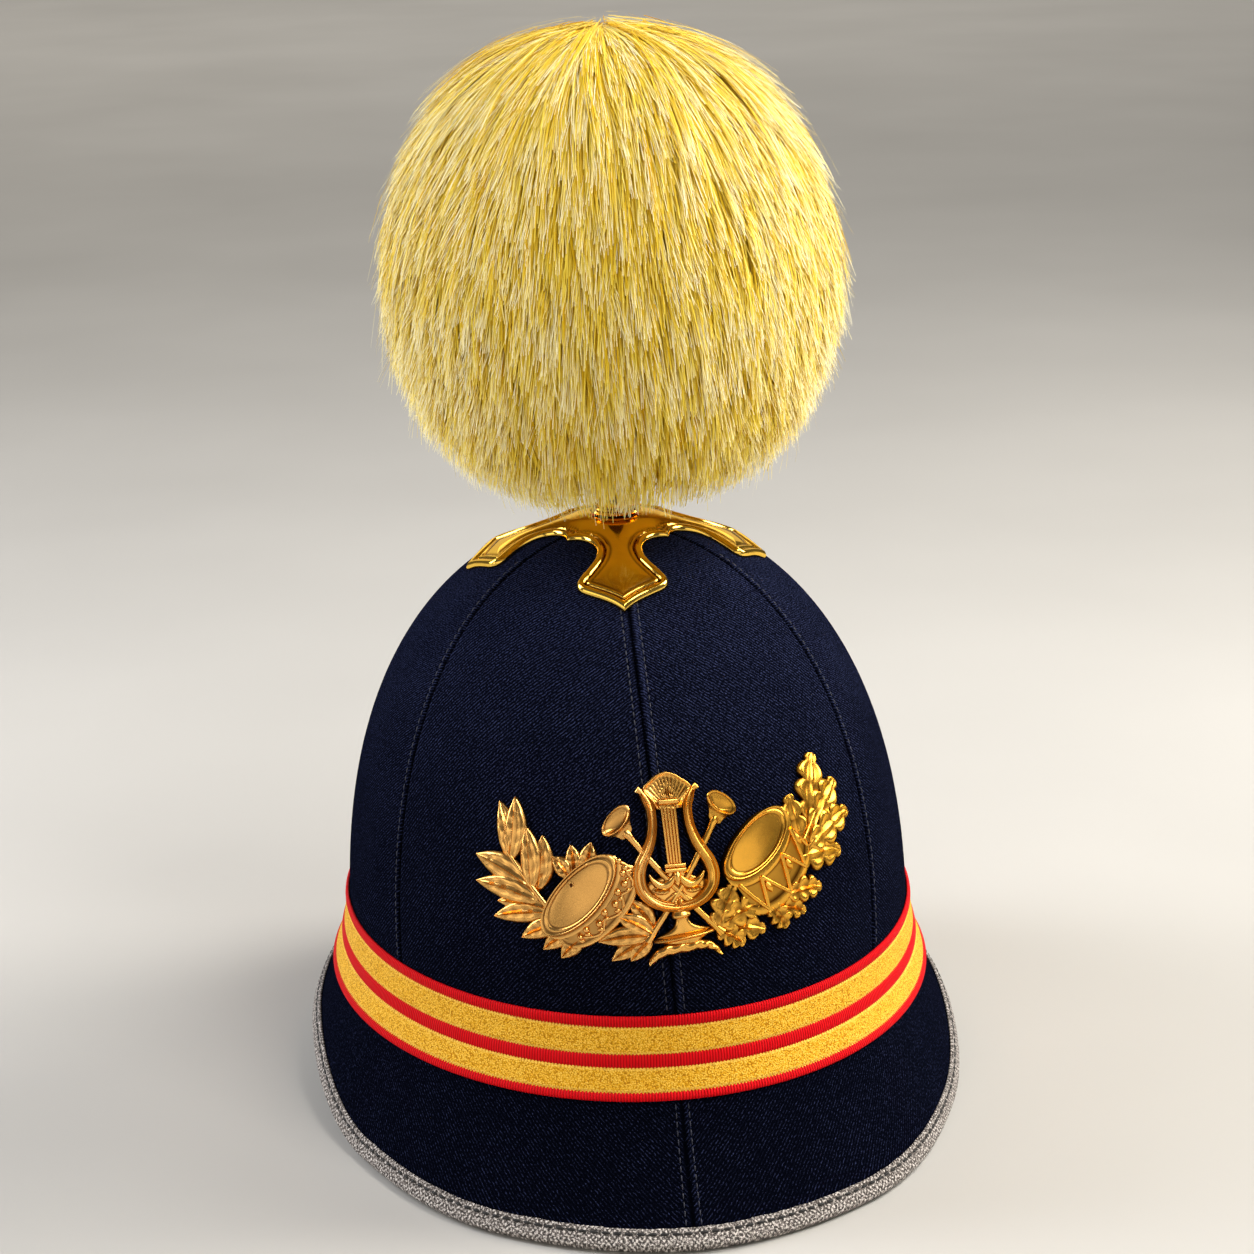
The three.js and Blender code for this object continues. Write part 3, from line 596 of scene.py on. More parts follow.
@dataclass(frozen=True)
class GreyBraid(Finish):
    """Grey-silver binding, woven of bright and dark threads: a coarse, speckled plait."""

    name: str = "grey_silver_braid_woven"
    tones: Stops = ((0.28, "#120e0d"), (0.62, "#675d57"), (1.0, "#f0e8e2"))
    plait_deg: float = 38.0
    cell: float = 1.3
    speck: float = 0.85
    depth: float = 0.35

    def draw(self, add: AddNode) -> Inputs:
        """Draws the plait on flat coordinates in millimetres along and across.

        Args:
            add: adds a node to the material.

        Returns:
            Values or sockets by the name of the shader's input.
        """
        flat = add("UVMap", uv_map=FLAT)
        wave = {"Scale": wave_scale(self.cell), "Distortion": 5.0, "Detail": 2, "Detail Scale": 1.2}
        plaits = {}
        for i, slant in enumerate((self.plait_deg, -self.plait_deg)):
            way = add("Mapping", {"Vector": flat, "Rotation": (0, 0, math.radians(slant))})
            plaits[i] = add("TexWave", {"Vector": way, **wave}, "Fac", bands_direction="X")
        over = add("Math", plaits, operation="MULTIPLY")
        grain = {"Scale": 1 / self.speck, "Detail": 3, "Roughness": 0.75}
        speckle = add("TexNoise", {"Vector": flat, **grain}, "Fac")
        spread = add("Math", {0: speckle, 1: 3.0, 2: -0.95}, operation="MULTIPLY_ADD")
        tone = add("Math", {0: over, 1: 0.4, 2: spread}, operation="MULTIPLY_ADD")
        # The tint mark here is painted shade along the groove of the stitches.
        worn_and_shaded = add("Attribute", out="Fac", attribute_name=TINT)
        shaded = add("Math", {0: tone, 1: worn_and_shaded}, operation="SUBTRACT")
        return {
            "Base Color": add("ValToRGB", {0: shaded}, stops=self.tones),
            "Normal": add("Bump", {"Height": tone, "Strength": 1.0, "Distance": self.depth * MM}),
            "Roughness": 0.5,
            "Metallic": 0.15,
        }


@dataclass(frozen=True)
class Brass(Finish):
    """Stamped brass with a lacquered polish: clear reflections, and darker amber in the hollows, as patina
    and painted shade.
    """

    bright: str
    deep: str
    other: str
    edge: str
    roughness: float
    grain: float
    lacquer: float
    cloud: float = 9.0
    grain_depth: float = 0.006

    def draw(self, add: AddNode) -> Inputs:
        """Draws the metal on object coordinates, from the marks of hollows and of the second tone.

        Args:
            add: adds a node to the material.

        Returns:
            Values or sockets by the name of the shader's input.
        """
        place = add("TexCoord", out="Object")
        cloud = add("TexNoise", {"Vector": place, "Scale": 1 / (self.cloud * MM), "Detail": 4}, "Fac")
        fine = add("TexNoise", {"Vector": place, "Scale": 1 / (self.grain * MM), "Detail": 3}, "Fac")
        tint = add("Attribute", out="Fac", attribute_name=TINT)
        hollow = add("Attribute", out="Fac", attribute_name=HOLLOW)
        tones = add("Mix", {0: tint, 6: linear(self.bright), 7: linear(self.other)}, 2, data_type="RGBA")
        pooled = add("Math", {0: cloud, 1: 0.4, 2: -0.15}, operation="MULTIPLY_ADD")
        # The hollow mark darkens towards the deep colour as patina and painted shade, with a random cloud of
        # amber mottling.
        shade = add("Math", {0: hollow, 1: pooled}, operation="ADD", use_clamp=True)
        dull = add("Math", {0: fine, 1: 0.1, 2: self.roughness - 0.05}, operation="MULTIPLY_ADD")
        return {
            "Base Color": add("Mix", {0: shade, 6: tones, 7: linear(self.deep)}, 2, data_type="RGBA"),
            "Roughness": add("Math", {0: hollow, 1: 0.18, 2: dull}, operation="MULTIPLY_ADD"),
            "Normal": add("Bump", {"Height": fine, "Strength": 0.5, "Distance": self.grain_depth * MM}),
            "Metallic": 1.0,
            "Specular Tint": linear(self.edge),
            "Coat Weight": self.lacquer,
            "Coat Roughness": 0.12,
        }


@dataclass(frozen=True)
class DyedHair(Finish):
    """Dyed yellow hair, combed: deep yellow in its depth, paler and glossy where it catches the light."""

    name: str = "yellow_hair_dyed_and_combed"
    tones: Stops = ((0.0, "#d09c0a"), (0.3, "#e6be1a"), (0.6, "#f4db55"), (1.0, "#fdf5cb"))
    strand: float = 0.35
    run: float = 16.0

    def draw(self, add: AddNode) -> Inputs:
        """Draws the tint that each strand carries, with streaks along broad ribbons.

        Args:
            add: adds a node to the material.

        Returns:
            Values or sockets by the name of the shader's input.
        """
        tint = add("Attribute", out="Fac", attribute_name=TINT)
        flat = add("UVMap", uv_map=FLAT)
        drawn = add("Mapping", {"Vector": flat, "Scale": (1 / self.strand, 1 / self.run, 1)})
        streaks = add("TexNoise", {"Vector": drawn, "Scale": 1.0, "Detail": 2}, "Fac")
        drift = add("Math", {0: streaks, 1: 0.7, 2: -0.35}, operation="MULTIPLY_ADD")
        tone = add("Math", {0: tint, 1: drift}, operation="ADD", use_clamp=True)
        return {
            "Base Color": add("ValToRGB", {0: tone}, stops=self.tones),
            "Roughness": 0.42,
            "Specular IOR Level": 0.1,
        }


@dataclass(frozen=True)
class Mottled(Finish):
    """A plain surface in two close tones, drawn out upright where it has a grain."""

    low: str
    high: str
    grain: float
    detail: float
    roughness: float
    drawn_out: float = 1.0
    depth: float = 0.0

    def draw(self, add: AddNode) -> Inputs:
        """Draws the two tones on object coordinates, with the grain raised where it has a depth.

        Args:
            add: adds a node to the material.

        Returns:
            Values or sockets by the name of the shader's input.
        """
        place = add("TexCoord", out="Object")
        drawn = add("Mapping", {"Vector": place, "Scale": (1, 1, 1 / self.drawn_out)})
        scale = 1 / (self.grain * MM)
        mottle = add("TexNoise", {"Vector": drawn, "Scale": scale, "Detail": self.detail}, "Fac")
        surface = {
            "Base Color": add("ValToRGB", {0: mottle}, stops=((0.3, self.low), (0.7, self.high))),
            "Roughness": self.roughness,
        }
        if self.depth:
            surface["Normal"] = add("Bump", {"Height": mottle, "Strength": 0.4, "Distance": self.depth * MM})
        return surface


# Polished brass, stamped: a clear mirror in pale yellow, with brown in the furrows between the beads, as
# patina and painted shade.
POLISHED_BRASS = Brass(
    "polished_brass_stamped", bright="#f8cb5a", deep="#6a3404", other="#f8cb5a", edge="#ffe6b4",
    roughness=0.11, grain=2.2, lacquer=0.06,
)
# Gilt brass, struck: a softer shine in warm gold, yellower on one side, with dark brown in the hollows, as
# patina and painted shade.
GILT_BRASS = Brass(
    "gilt_brass_struck", bright="#f2b866", deep="#4c2405", other="#f4b442", edge="#f8cc84",
    roughness=0.24, grain=0.8, lacquer=0.05,
)
# Twisted thread, sewn: small rounded stitches with a dull shine, which change in tone from one to the next.
NAVY_THREAD = Mottled("navy_thread_sewn", "#0d1020", "#1e2238", grain=1.4, detail=2, roughness=0.6)
# The binding's thread is dark and is made nearly black, as painted shade of the stitch holes that it sits in.
DARK_THREAD_AND_HOLE_SHADE = Mottled("dark_thread_and_hole_shade_sewn", "#040303", "#12100f", grain=1.4, detail=2, roughness=0.6)
# Hardwood, stained red-brown and turned: faint upright grain under a worn varnish.
STAINED_WOOD = Mottled(
    "hardwood_stained_and_turned", "#2a0f08", "#5c2814", grain=0.8, detail=4, roughness=0.4,
    drawn_out=12.5, depth=0.1,
)
# Studio paper, rolled out: matt and pale, with a hardly visible change of tone.
STUDIO_PAPER = Mottled("studio_paper_matt", "#b3b1ad", "#bcbab6", grain=400, detail=3, roughness=0.9)


# The form that the pieces share


@dataclass(frozen=True)
class Form:
    """The surface of the helmet: a dome on an oval, with a flare behind the band."""

    half_width: float = 100.0
    length_ratio: float = 1.25
    top_rounding: float = 0.6
    base_z: float = 52.0
    top_z: float = 201.0
    bottom_z: float = 55.0
    shoulder: float = 2.37
    flank: float = 2.19
    wall: float = 2.6
    gap: float = 0.3
    band_top_z: float = 68.4
    band_bottom_z: float = 41.5
    flare: float = 6.0
    halvings: int = 40

    def oval(self, z: Values, inset: float = 0.0) -> tuple[Array, Array]:
        """Half width and half length of the crown at a height, drawn in by an inset.

        Args:
            z: the height.
            inset: how far the whole dome is drawn in.

        Returns:
            Half width and half length.
        """
        rise = np.clip((np.asarray(z, float) - self.base_z) / (self.top_z - inset - self.base_z), 0, 1)
        shrink = (1 - rise**self.shoulder) ** (1 / self.flank)
        stretch = 1 + (self.length_ratio - 1) * (1 - self.top_rounding * rise**2)
        return (self.half_width - inset) * shrink, (self.half_width * stretch - inset) * shrink

    def flare_at(self, z: Values) -> Array:
        """How far the shell stands out from the oval behind the band."""
        drop = (self.band_top_z - np.asarray(z, float)) / (self.band_top_z - self.band_bottom_z)
        return self.flare * np.clip(drop, 0, 1) ** 2

    def shell(self, azimuth: Values, z: Values, out: Values = 0.0, inset: float = 0.0) -> Array:
        """Points of the shell, moved out level.

        Args:
            azimuth: angle from the front towards +X.
            z: height.
            out: distance from the cloth.
            inset: how far the whole dome is drawn in.

        Returns:
            Points, in the shape that azimuth and height have together.
        """
        width, length = self.oval(z, inset)
        away = self.flare_at(z) + out
        return stacked((width + away) * np.sin(azimuth), -(length + away) * np.cos(azimuth), z)

    def normal(self, azimuth: Array, z: Array, step: float = 0.01) -> Array:
        """Directions square to the cloth.

        Args:
            azimuth: angle from the front.
            z: height.
            step: the step that gives the slopes.

        Returns:
            Vectors of a length of one.
        """
        along = self.shell(azimuth + step, z) - self.shell(azimuth - step, z)
        up = self.shell(azimuth, z + step) - self.shell(azimuth, z - step)
        return unit(np.cross(along, up))

    def off_cloth(self, azimuth: Values, z: Values, distance: Values) -> Array:
        """Points at a distance from the cloth, square to it."""
        azimuth, z, distance = matched(azimuth, z, distance)
        return self.shell(azimuth, z) + self.normal(azimuth, z) * distance[..., None]

    def arc_radius(self, azimuth: Array, z: Array) -> Array:
        """Millimetres round the crown for one radian of azimuth.

        Args:
            azimuth: angle from the front.
            z: height.

        Returns:
            The radii of the arcs.
        """
        width, length = self.oval(z)
        away = self.flare_at(z)
        return np.hypot((width + away) * np.cos(azimuth), (length + away) * np.sin(azimuth))

    def cloth_height(self, x: Array, y: Array) -> Array:
        """Height of the cloth over points of the plan, found by halving.

        Args:
            x: places to the right.
            y: places to the back.

        Returns:
            The heights.
        """
        low = np.full(np.shape(x), self.base_z)
        high = np.full(np.shape(x), self.top_z)
        for _ in range(self.halvings):
            middle = (low + high) / 2
            width, length = self.oval(middle)
            inside = (x / np.maximum(width, 1e-9)) ** 2 + (y / np.maximum(length, 1e-9)) ** 2 < 1
            low = np.where(inside, middle, low)
            high = np.where(inside, high, middle)
        return low

    def over_top(self, x: Array, y: Array, lift: Values, step: float = 0.02) -> Array:
        """Lays points of the plan over the dome, at a height square to the cloth.

        Args:
            x: places to the right.
            y: places to the back.
            lift: their heights above the cloth.
            step: the step that gives the slopes.

        Returns:
            The points.
        """
        rise_x = self.cloth_height(x + step, y) - self.cloth_height(x - step, y)
        rise_y = self.cloth_height(x, y + step) - self.cloth_height(x, y - step)
        normal = unit(stacked(-rise_x, -rise_y, 2 * step))
        return stacked(x, y, self.cloth_height(x, y)) + normal * np.asarray(lift)[..., None]


class SeamKind(Enum):
    """How a seam is sewn: a welt with a row of stitches on each side, or a lapped edge with one row."""

    WELTED = "welted"
    LAPPED = "lapped"


@dataclass(frozen=True)
class Seam:
    """A seam, by its azimuths at the top of the crown and at the band.

    The lap is 1 where the seam's raised edge lies on the side of growing azimuth, and -1 on the other.
    """

    top_deg: float
    band_deg: float
    kind: SeamKind
    lap: int = 1
    beside: Pair = (-2.7, 3.0)
    lap_row: float = 2.1

    def relief(self, distance: Values) -> Array:
        """Height of the cloth beside the seam, by the distance from it in millimetres.

        Args:
            distance: distances from the seam, towards growing azimuth.

        Returns:
            The heights.
        """
        d = np.asarray(distance, float) * self.lap
        groove = -0.95 * bell(d, 0, 0.62)
        if self.kind is SeamKind.WELTED:
            rows = -0.2 * bell(d, self.beside[0], 0.4) - 0.22 * bell(d, self.beside[1], 0.4)
            return groove + 0.42 * bell(d, 1.75, 1.0) + rows + 0.12 * bell(d, -1.6, 0.7)
        row = -0.18 * bell(d, self.lap_row, 0.35)
        return groove + 0.34 * bell(d, 1.3, 0.8) + row + 0.1 * bell(d, -1.4, 0.8)

    def rows(self) -> Row:
        """Distances of the rows of stitches from the seam."""
        return self.beside if self.kind is SeamKind.WELTED else (self.lap_row * self.lap,)

    def wear_and_shading(self, relief: Array) -> Array:
        """Shade of the cloth on the seam: paler on what is raised, as rubbing and painted highlight, and
        darker in the grooves, as painted shade.
        """
        return np.clip(relief * 1.6, -1, 1)


@dataclass(frozen=True)
class Stitching:
    """A row of machine stitches: their length, the space between them and the thread's radius."""

    length: float = 2.1
    space: float = 0.75
    radius: float = 0.24
    shares: Row = (0.0, 0.18, 0.5, 0.82, 1.0)
    lifts: Row = (-0.14, 0.08, 0.14, 0.08, -0.14)
    sizes: Row = (0.45, 0.95, 1.0, 0.95, 0.45)

    def sew(self, soup: Soup, path: Array, normal: Array) -> None:
        """Adds stitches along a path.

        Args:
            soup: the piece that gets them.
            path: the row's line on the cloth.
            normal: directions square to the cloth at its points.
        """
        along = run_lengths(path)
        lift = np.array(self.lifts)[:, None]
        for start in np.arange(self.space, along[-1] - self.length, self.length + self.space):
            at = start + np.array(self.shares) * self.length
            place, up = (np.stack([np.interp(at, along, k) for k in way.T], -1) for way in (path, normal))
            soup.tube(place + unit(up) * lift, self.radius * np.array(self.sizes), up=unit(up))


# The crown


@dataclass
class Crown:
    """The cloth-covered dome in six gores."""

    form: Form
    seams: tuple[Seam, ...] = (
        Seam(-4.6, -0.4, SeamKind.WELTED),
        Seam(55, 47, SeamKind.LAPPED),
        Seam(116, 118, SeamKind.LAPPED),
        Seam(176, 180, SeamKind.WELTED),
        Seam(236, 240, SeamKind.LAPPED, lap=-1),
        Seam(295, 301, SeamKind.LAPPED, lap=-1),
    )
    rows: int = 84
    middle_columns: int = 26
    near_columns: Row = (0, 0.3, 0.6, 0.95, 1.3, 1.7, 2.1, 2.5, 2.9, 3.3, 3.8, 4.5, 5.5, 7, 9)
    gore_width: float = 118.0
    gore_apart: float = 300.0
    inner_rows: int = 24
    inner_columns: int = 120
    inner_girth: float = 680.0
    tuck: float = 2.0
    stitch_top_z: float = 193.0
    # Heights between which the cloth is painted paler towards the top, as painted light.
    painted_light_z: Pair = (80.0, 190.0)
    stitching: Stitching = Stitching()

    def seam_azimuth(self, seam: Seam, z: Array) -> Array:
        """Azimuth of a seam at a height, in radians."""
        rise = np.clip((z - self.form.band_top_z) / (self.form.top_z - self.form.band_top_z), 0, 1)
        return np.radians(seam.band_deg + (seam.top_deg - seam.band_deg) * rise)

    def row_heights(self, count: int, inset: float) -> Array:
        """Heights of the rows: one below the band, the rest closer together towards the top.

        Args:
            count: how many rows there are.
            inset: how far the dome is drawn in.

        Returns:
            The heights.
        """
        share = np.sin(np.linspace(0, 0.996, count - 1) * np.pi / 2)
        low = self.form.band_top_z - self.tuck
        return np.concatenate([[self.form.bottom_z], low + (self.form.top_z - inset - low) * share])

    def shares(self) -> Array:
        """Places of the columns across a gore, close together beside the seams.

        Returns:
            Shares from 0 to 1.
        """
        near = np.array(self.near_columns) / self.gore_width
        middle = np.linspace(near[-1], 1 - near[-1], self.middle_columns)[1:-1]
        return np.concatenate([near, middle, 1 - near[:0:-1]])

    def gore(self, index: int, z: Array) -> tuple[Array, Array, Array, Array]:
        """Lays out a gore.

        Args:
            index: the number of the seam where the gore begins.
            z: the heights of its rows.

        Returns:
            Azimuths, relief, flat coordinates and the tint of rubbing and painted light and shade, by row and
            column.
        """
        form = self.form
        first, second = self.seams[index], self.seams[(index + 1) % len(self.seams)]
        start, end = (self.seam_azimuth(seam, z)[:, None] for seam in (first, second))
        end = np.where(end > start, end, end + 2 * np.pi)
        share = self.shares()[None, :]
        azimuth = start + (end - start) * share
        radius = form.arc_radius(azimuth, z[:, None])
        reach = (end - start) * radius
        shows = smoothstep(form.band_top_z - self.tuck, form.band_top_z, z)[:, None]
        shows = shows * smoothstep(0.0, 14.0, radius)
        relief = (first.relief(share * reach) + second.relief((share - 1) * reach)) * shows
        side = 1 if index < len(self.seams) / 2 else -1
        slope = run_lengths(form.shell(np.zeros(len(z)), z))[:, None]
        # The gores lie apart in the flat, so that no two have the same ribs.
        flat = stacked(side * (share - 0.5) * reach + self.gore_apart * index, slope)
        # Rubbing and painted light and shade: paler on raised seams, darker in their grooves, and painted
        # paler from the band up to the top.
        wear_and_shading = first.wear_and_shading(relief) - 0.3 + 0.75 * smoothstep(*self.painted_light_z, z)[:, None]
        return azimuth, relief, flat, wear_and_shading

    def ring(self, z: float) -> Array:
        """Points of the cloth round the crown at a height, in step with the columns of the gores."""
        azimuths = [self.gore(i, np.array([z]))[0][0, :-1] for i in range(len(self.seams))]
        return self.form.shell(np.concatenate(azimuths), z)

    def build(self, cloth: Material, thread: Material) -> None:
        """Makes the dome, its inside and its stitches.

        Args:
            cloth: the finish of the dome.
            thread: the finish of the stitches.
        """
        form, inset = self.form, self.form.wall
        soup = Soup()
        z = self.row_heights(self.rows, 0.0)
        for index in range(len(self.seams)):
            azimuth, relief, flat, wear_and_shading = self.gore(index, z)
            soup.grid(form.off_cloth(azimuth, z[:, None], relief), flat=flat, tint=wear_and_shading)
        inner_z = self.row_heights(self.inner_rows, inset)[:, None]
        inner = form.shell(circle(self.inner_columns), inner_z, 0.0, inset)
        along = np.linspace(0, self.inner_girth, self.inner_columns + 1)
        soup.grid(inner, ring=True, flat=stacked(along, inner_z))
        soup.cap(inner[-1], np.array([0, 0, form.top_z - inset]))
        edge = self.ring(z[0])
        lip = form.shell(np.unwrap(np.arctan2(edge[:, 0], -edge[:, 1])), z[0], 0.0, inset)
        soup.grid(np.stack([edge, lip]), ring=True)
        soup.cap(self.ring(z[-1]), np.array([0, 0, form.top_z]))
        soup.piece("crown_cloth", cloth, "navy_twill", "crown")
        stitches = Soup()
        high = np.linspace(form.band_top_z + 0.5, self.stitch_top_z, 200)
        for seam in self.seams:
            for row in seam.rows():
                azimuth = self.seam_azimuth(seam, high)
                azimuth = azimuth + row / form.arc_radius(azimuth, high)
                path = form.off_cloth(azimuth, high, seam.relief(row))
                self.stitching.sew(stitches, path, form.normal(azimuth, high))
        stitches.piece("crown_stitches", thread, "navy_twill", weld=False)


# The brim, its binding and the band


@dataclass
class Brim:
    """The cloth-covered brim all round, with a seam at the front."""

    form: Form
    edge_deg: Row = (0, 30, 60, 90, 110, 130, 155, 180)
    overhang: Row = (31.2, 27.2, 18.2, 13.8, 12.5, 16, 26.5, 31.2)
    edge_z: Row = (1.8, 1.8, 2.6, 19, 24, 13, 1.8, 1.8)
    ease: float = 0.5
    spread: float = 0.35
    split: float = 0.25
    slope_length: float = 56.0
    seam_deg: float = -0.3
    seam: Seam = Seam(0, 0, SeamKind.WELTED, beside=(-2.1, 2.4))
    seam_reach: float = 5.0
    seam_columns: int = 41
    stitch_end: float = 0.915
    columns: int = 420
    rows: int = 30
    stitching: Stitching = Stitching()

    def edge_at(self, azimuth: Array) -> list[Array]:
        """Overhang and height of the edge at azimuths, eased between the rows of the table.

        Args:
            azimuth: angles from the front.

        Returns:
            The overhangs and the heights.
        """
        turn = np.degrees(azimuth) % 360
        side = np.minimum(turn, 360 - turn)
        table = np.array(self.edge_deg, float)
        after = np.clip(np.searchsorted(table, side, "left"), 1, len(table) - 1)
        share = (side - table[after - 1]) / (table[after] - table[after - 1])
        share = share + (smoothstep(0, 1, share) - share) * self.ease
        columns = (np.array(column, float) for column in (self.overhang, self.edge_z))
        return [column[after - 1] + (column[after] - column[after - 1]) * share for column in columns]

    def middle(self, azimuth: Array, share: Array) -> tuple[Array, Array]:
        """Offset and height of the middle of the brim's wall, from the crown to the edge.

        Args:
            azimuth: angle from the front.
            share: place on the slope, 0 at the crown and 1 at the edge.

        Returns:
            The offsets from the crown's oval and the heights.
        """
        form = self.form
        out, low = self.edge_at(azimuth)
        join = form.bottom_z - 2 * form.gap
        upper_z = join + (form.band_bottom_z - join) * share / self.split
        run = (share - self.split) / (1 - self.split)
        start = form.flare - form.wall / 2
        spread = run + (run**2 - run) * self.spread
        is_upper = share < self.split
        place = np.where(is_upper, form.flare_at(upper_z) - form.wall / 2, start + (out - start) * spread)
        height = np.where(is_upper, upper_z, form.band_bottom_z + (low - form.band_bottom_z) * run)
        return place, height

    def point(
        self, azimuth: Values, share: Values, along: Values, across: Values, step: float = 0.01
    ) -> Array:
        """Points of the brim's section.

        Args:
            azimuth: angle from the front.
            share: place on the slope, 0 at the crown and 1 at the edge.
            along: distance further down the slope.
            across: distance square to the slope, towards the outside.
            step: the step on the slope that gives its direction.

        Returns:
            Points, in the shape that the arguments have together.
        """
        azimuth, share, along, across = matched(azimuth, share, along, across)
        out, z = self.middle(azimuth, share)
        ahead, behind = (np.stack(self.middle(azimuth, np.clip(share + s, 0, 1)), -1) for s in (step, -step))
        slope = unit(ahead - behind)
        out = out + slope[..., 0] * along - slope[..., 1] * across
        z = z + slope[..., 1] * along + slope[..., 0] * across
        width, length = self.form.oval(self.form.base_z)
        return stacked((width + out) * np.sin(azimuth), -(length + out) * np.cos(azimuth), z)

    def row(self, azimuth: Values, share: Array, level: float) -> tuple[Array, Array]:
        """A line on the brim for a row of stitches, and the directions square to it."""
        path = self.point(azimuth, share, 0, level)
        return path, unit(self.point(azimuth, share, 0, level + 1) - path)

    def turns(self) -> Array:
        """Azimuths of the columns, close together beside the seam.

        Returns:
            The azimuths in growing order.
        """
        even, seam = circle(self.columns), math.radians(self.seam_deg)
        near = np.linspace(-self.seam_reach, self.seam_reach, self.seam_columns) / self.form.half_width
        far = even[np.abs(near_turn(even - seam)) > 1.1 * self.seam_reach / self.form.half_width]
        return np.sort(np.concatenate([far, (near + seam) % (2 * np.pi)]))

    def seam_radius(self) -> float:
        """Millimetres round the brim at its front for one radian of azimuth."""
        return self.form.half_width + self.overhang[0] / 2

    def build(self, cloth: Material, thread: Material) -> None:
        """Makes the brim and the stitches of its seam.

        Args:
            cloth: the finish of the brim.
            thread: the finish of the stitches.
        """
        seam, half = math.radians(self.seam_deg), self.form.wall / 2
        turn = self.turns()
        share = np.linspace(0, 1, self.rows)[:, None]
        shows = smoothstep(self.split, self.split + 0.03, share)
        relief = self.seam.relief(near_turn(turn - seam) * self.seam_radius()) * shows
        outer = self.point(turn, share, 0, half + relief)
        inner = self.point(turn, share[::-1], 0, -half)
        across = np.concatenate([share, share[::-1], share[:1]]) * self.slope_length
        along = np.abs(near_turn(np.append(turn, turn[0] + 2 * np.pi) - seam)) * self.seam_radius()
        # Rubbing and painted light and shade from the seam on the outside, and the whole brim painted darker
        # than the crown, as shade.
        wear_and_shading = np.concatenate([self.seam.wear_and_shading(relief), np.zeros(relief.shape)]) - 0.5
        soup = Soup()
        net, flat = np.concatenate([outer, inner]), stacked(along, across)
        soup.grid(net, ring=True, loop=True, flat=flat, tint=wear_and_shading)
        soup.piece("brim_cloth", cloth, "navy_twill", "brim")
        stitches = Soup()
        down = np.linspace(self.split + 0.02, self.stitch_end, 120)
        for row in self.seam.rows():
            level = half + float(self.seam.relief(row))
            self.stitching.sew(stitches, *self.row(seam + row / self.seam_radius(), down, level))
        stitches.piece("brim_stitches", thread, "navy_twill", weld=False)


@dataclass
class Binding:
    """The grey braid folded over the edge of the brim and stitched through."""

    brim: Brim
    width: float = 5.7
    thickness: float = 1.0
    columns: int = 720
    face_rows: int = 9
    fold_rows: int = 7
    stitch_at: float = 0.34
    stitch_depth: float = 0.3
    fray: float = 0.22
    seed: int = 7
    stitching: Stitching = Stitching(length=2.7, space=1.1, radius=0.52)

    def on_slope(self, azimuth: Array, place: Array, step: float = 0.1) -> Array:
        """Shares of the brim's slope, by the place across the braid, which is equally wide all round.

        Args:
            azimuth: angle from the front.
            place: place across the braid, 1 at the edge of the brim.
            step: the step on the slope that gives its length.

        Returns:
            The shares.
        """
        (out, z), (back_out, back_z) = (self.brim.middle(azimuth, 0 * azimuth + s) for s in (1, 1 - step))
        start = 1 - self.width * step / np.hypot(out - back_out, z - back_z)
        return start + (1 - start) * place

    def section(self, inner: float, outer: float) -> Array:
        """The braid's section: two faces, the fold between them and the side that lies on the brim.

        Args:
            inner: distance of its inner side from the middle of the brim's wall.
            outer: distance of its outer side.

        Returns:
            Place across the braid, distance past the edge, distance from the wall and place on the cloth.
        """
        gap = self.brim.form.gap
        place = np.linspace(0, 1, self.face_rows)
        rounding = 1 - 0.55 * (1 - np.clip(place / 0.12, 0, 1)) ** 2
        groove = -self.stitch_depth * bell(place, self.stitch_at, 0.07)
        face = stacked(place, 0, inner + (outer - inner) * rounding + groove, place)
        angle = np.linspace(np.pi / 2, -np.pi / 2, self.fold_rows + 2)[1:-1]
        bulge = np.cos(angle)
        fold = stacked(1, (gap + self.thickness) * bulge, outer * np.sin(angle), 1 + 0.25 * bulge)
        under = face[::-1] * np.array([1, 1, -1, 1])
        inside = [(0, 0, -inner, 0), (1, gap, -inner, 0), (1, gap, inner, 0), (0, 0, inner, 0)]
        return np.concatenate([face, fold, under, inside])

    def build(self, braid: Material, thread: Material) -> None:
        """Makes the braid, a little frayed at its upper edge, and its stitches.

        Args:
            braid: the finish of the braid.
            thread: the finish of the stitches.
        """
        inner = self.brim.form.wall / 2 + self.brim.form.gap
        outer = inner + self.thickness
        rng = np.random.default_rng(self.seed)
        turn = circle(self.columns)
        rough = np.convolve(np.tile(rng.normal(size=self.columns), 3), np.ones(3) / 3, "same")
        rough = rough[self.columns : 2 * self.columns] * self.fray
        place, past, away, cloth = self.section(inner, outer).T[..., None]
        frayed = np.zeros(place.shape)
        frayed[:2, 0] = 1.0, 0.5
        net = self.brim.point(turn, self.on_slope(turn, place), past + frayed * rough, away)
        net[..., 2] = np.maximum(net[..., 2], 0.0)
        along = run_lengths(self.brim.point(np.append(turn, 2 * np.pi), 1.0, 0, 0))
        flat = stacked(along, np.append(cloth, cloth[:1], axis=0) * self.width)
        soup = Soup()
        # Painted shade: the braid is darkened along the groove of its stitches.
        soup.grid(net, ring=True, loop=True, flat=flat, tint=0.15 * bell(cloth, self.stitch_at, 0.08))
        soup.piece("binding_braid", braid, "grey_braid", "brim_binding")
        stitches = Soup()
        fine = np.linspace(0, 2 * np.pi, 2 * self.columns)
        row = self.brim.row(fine, self.on_slope(fine, self.stitch_at), outer - self.stitch_depth)
        self.stitching.sew(stitches, *row)
        stitches.piece("binding_stitches", thread, "grey_braid", weld=False)


@dataclass(frozen=True)
class Stripe:
    """A stripe of the band: its share of the width, its height and how square its section is."""

    share: float
    raised: float
    square: float


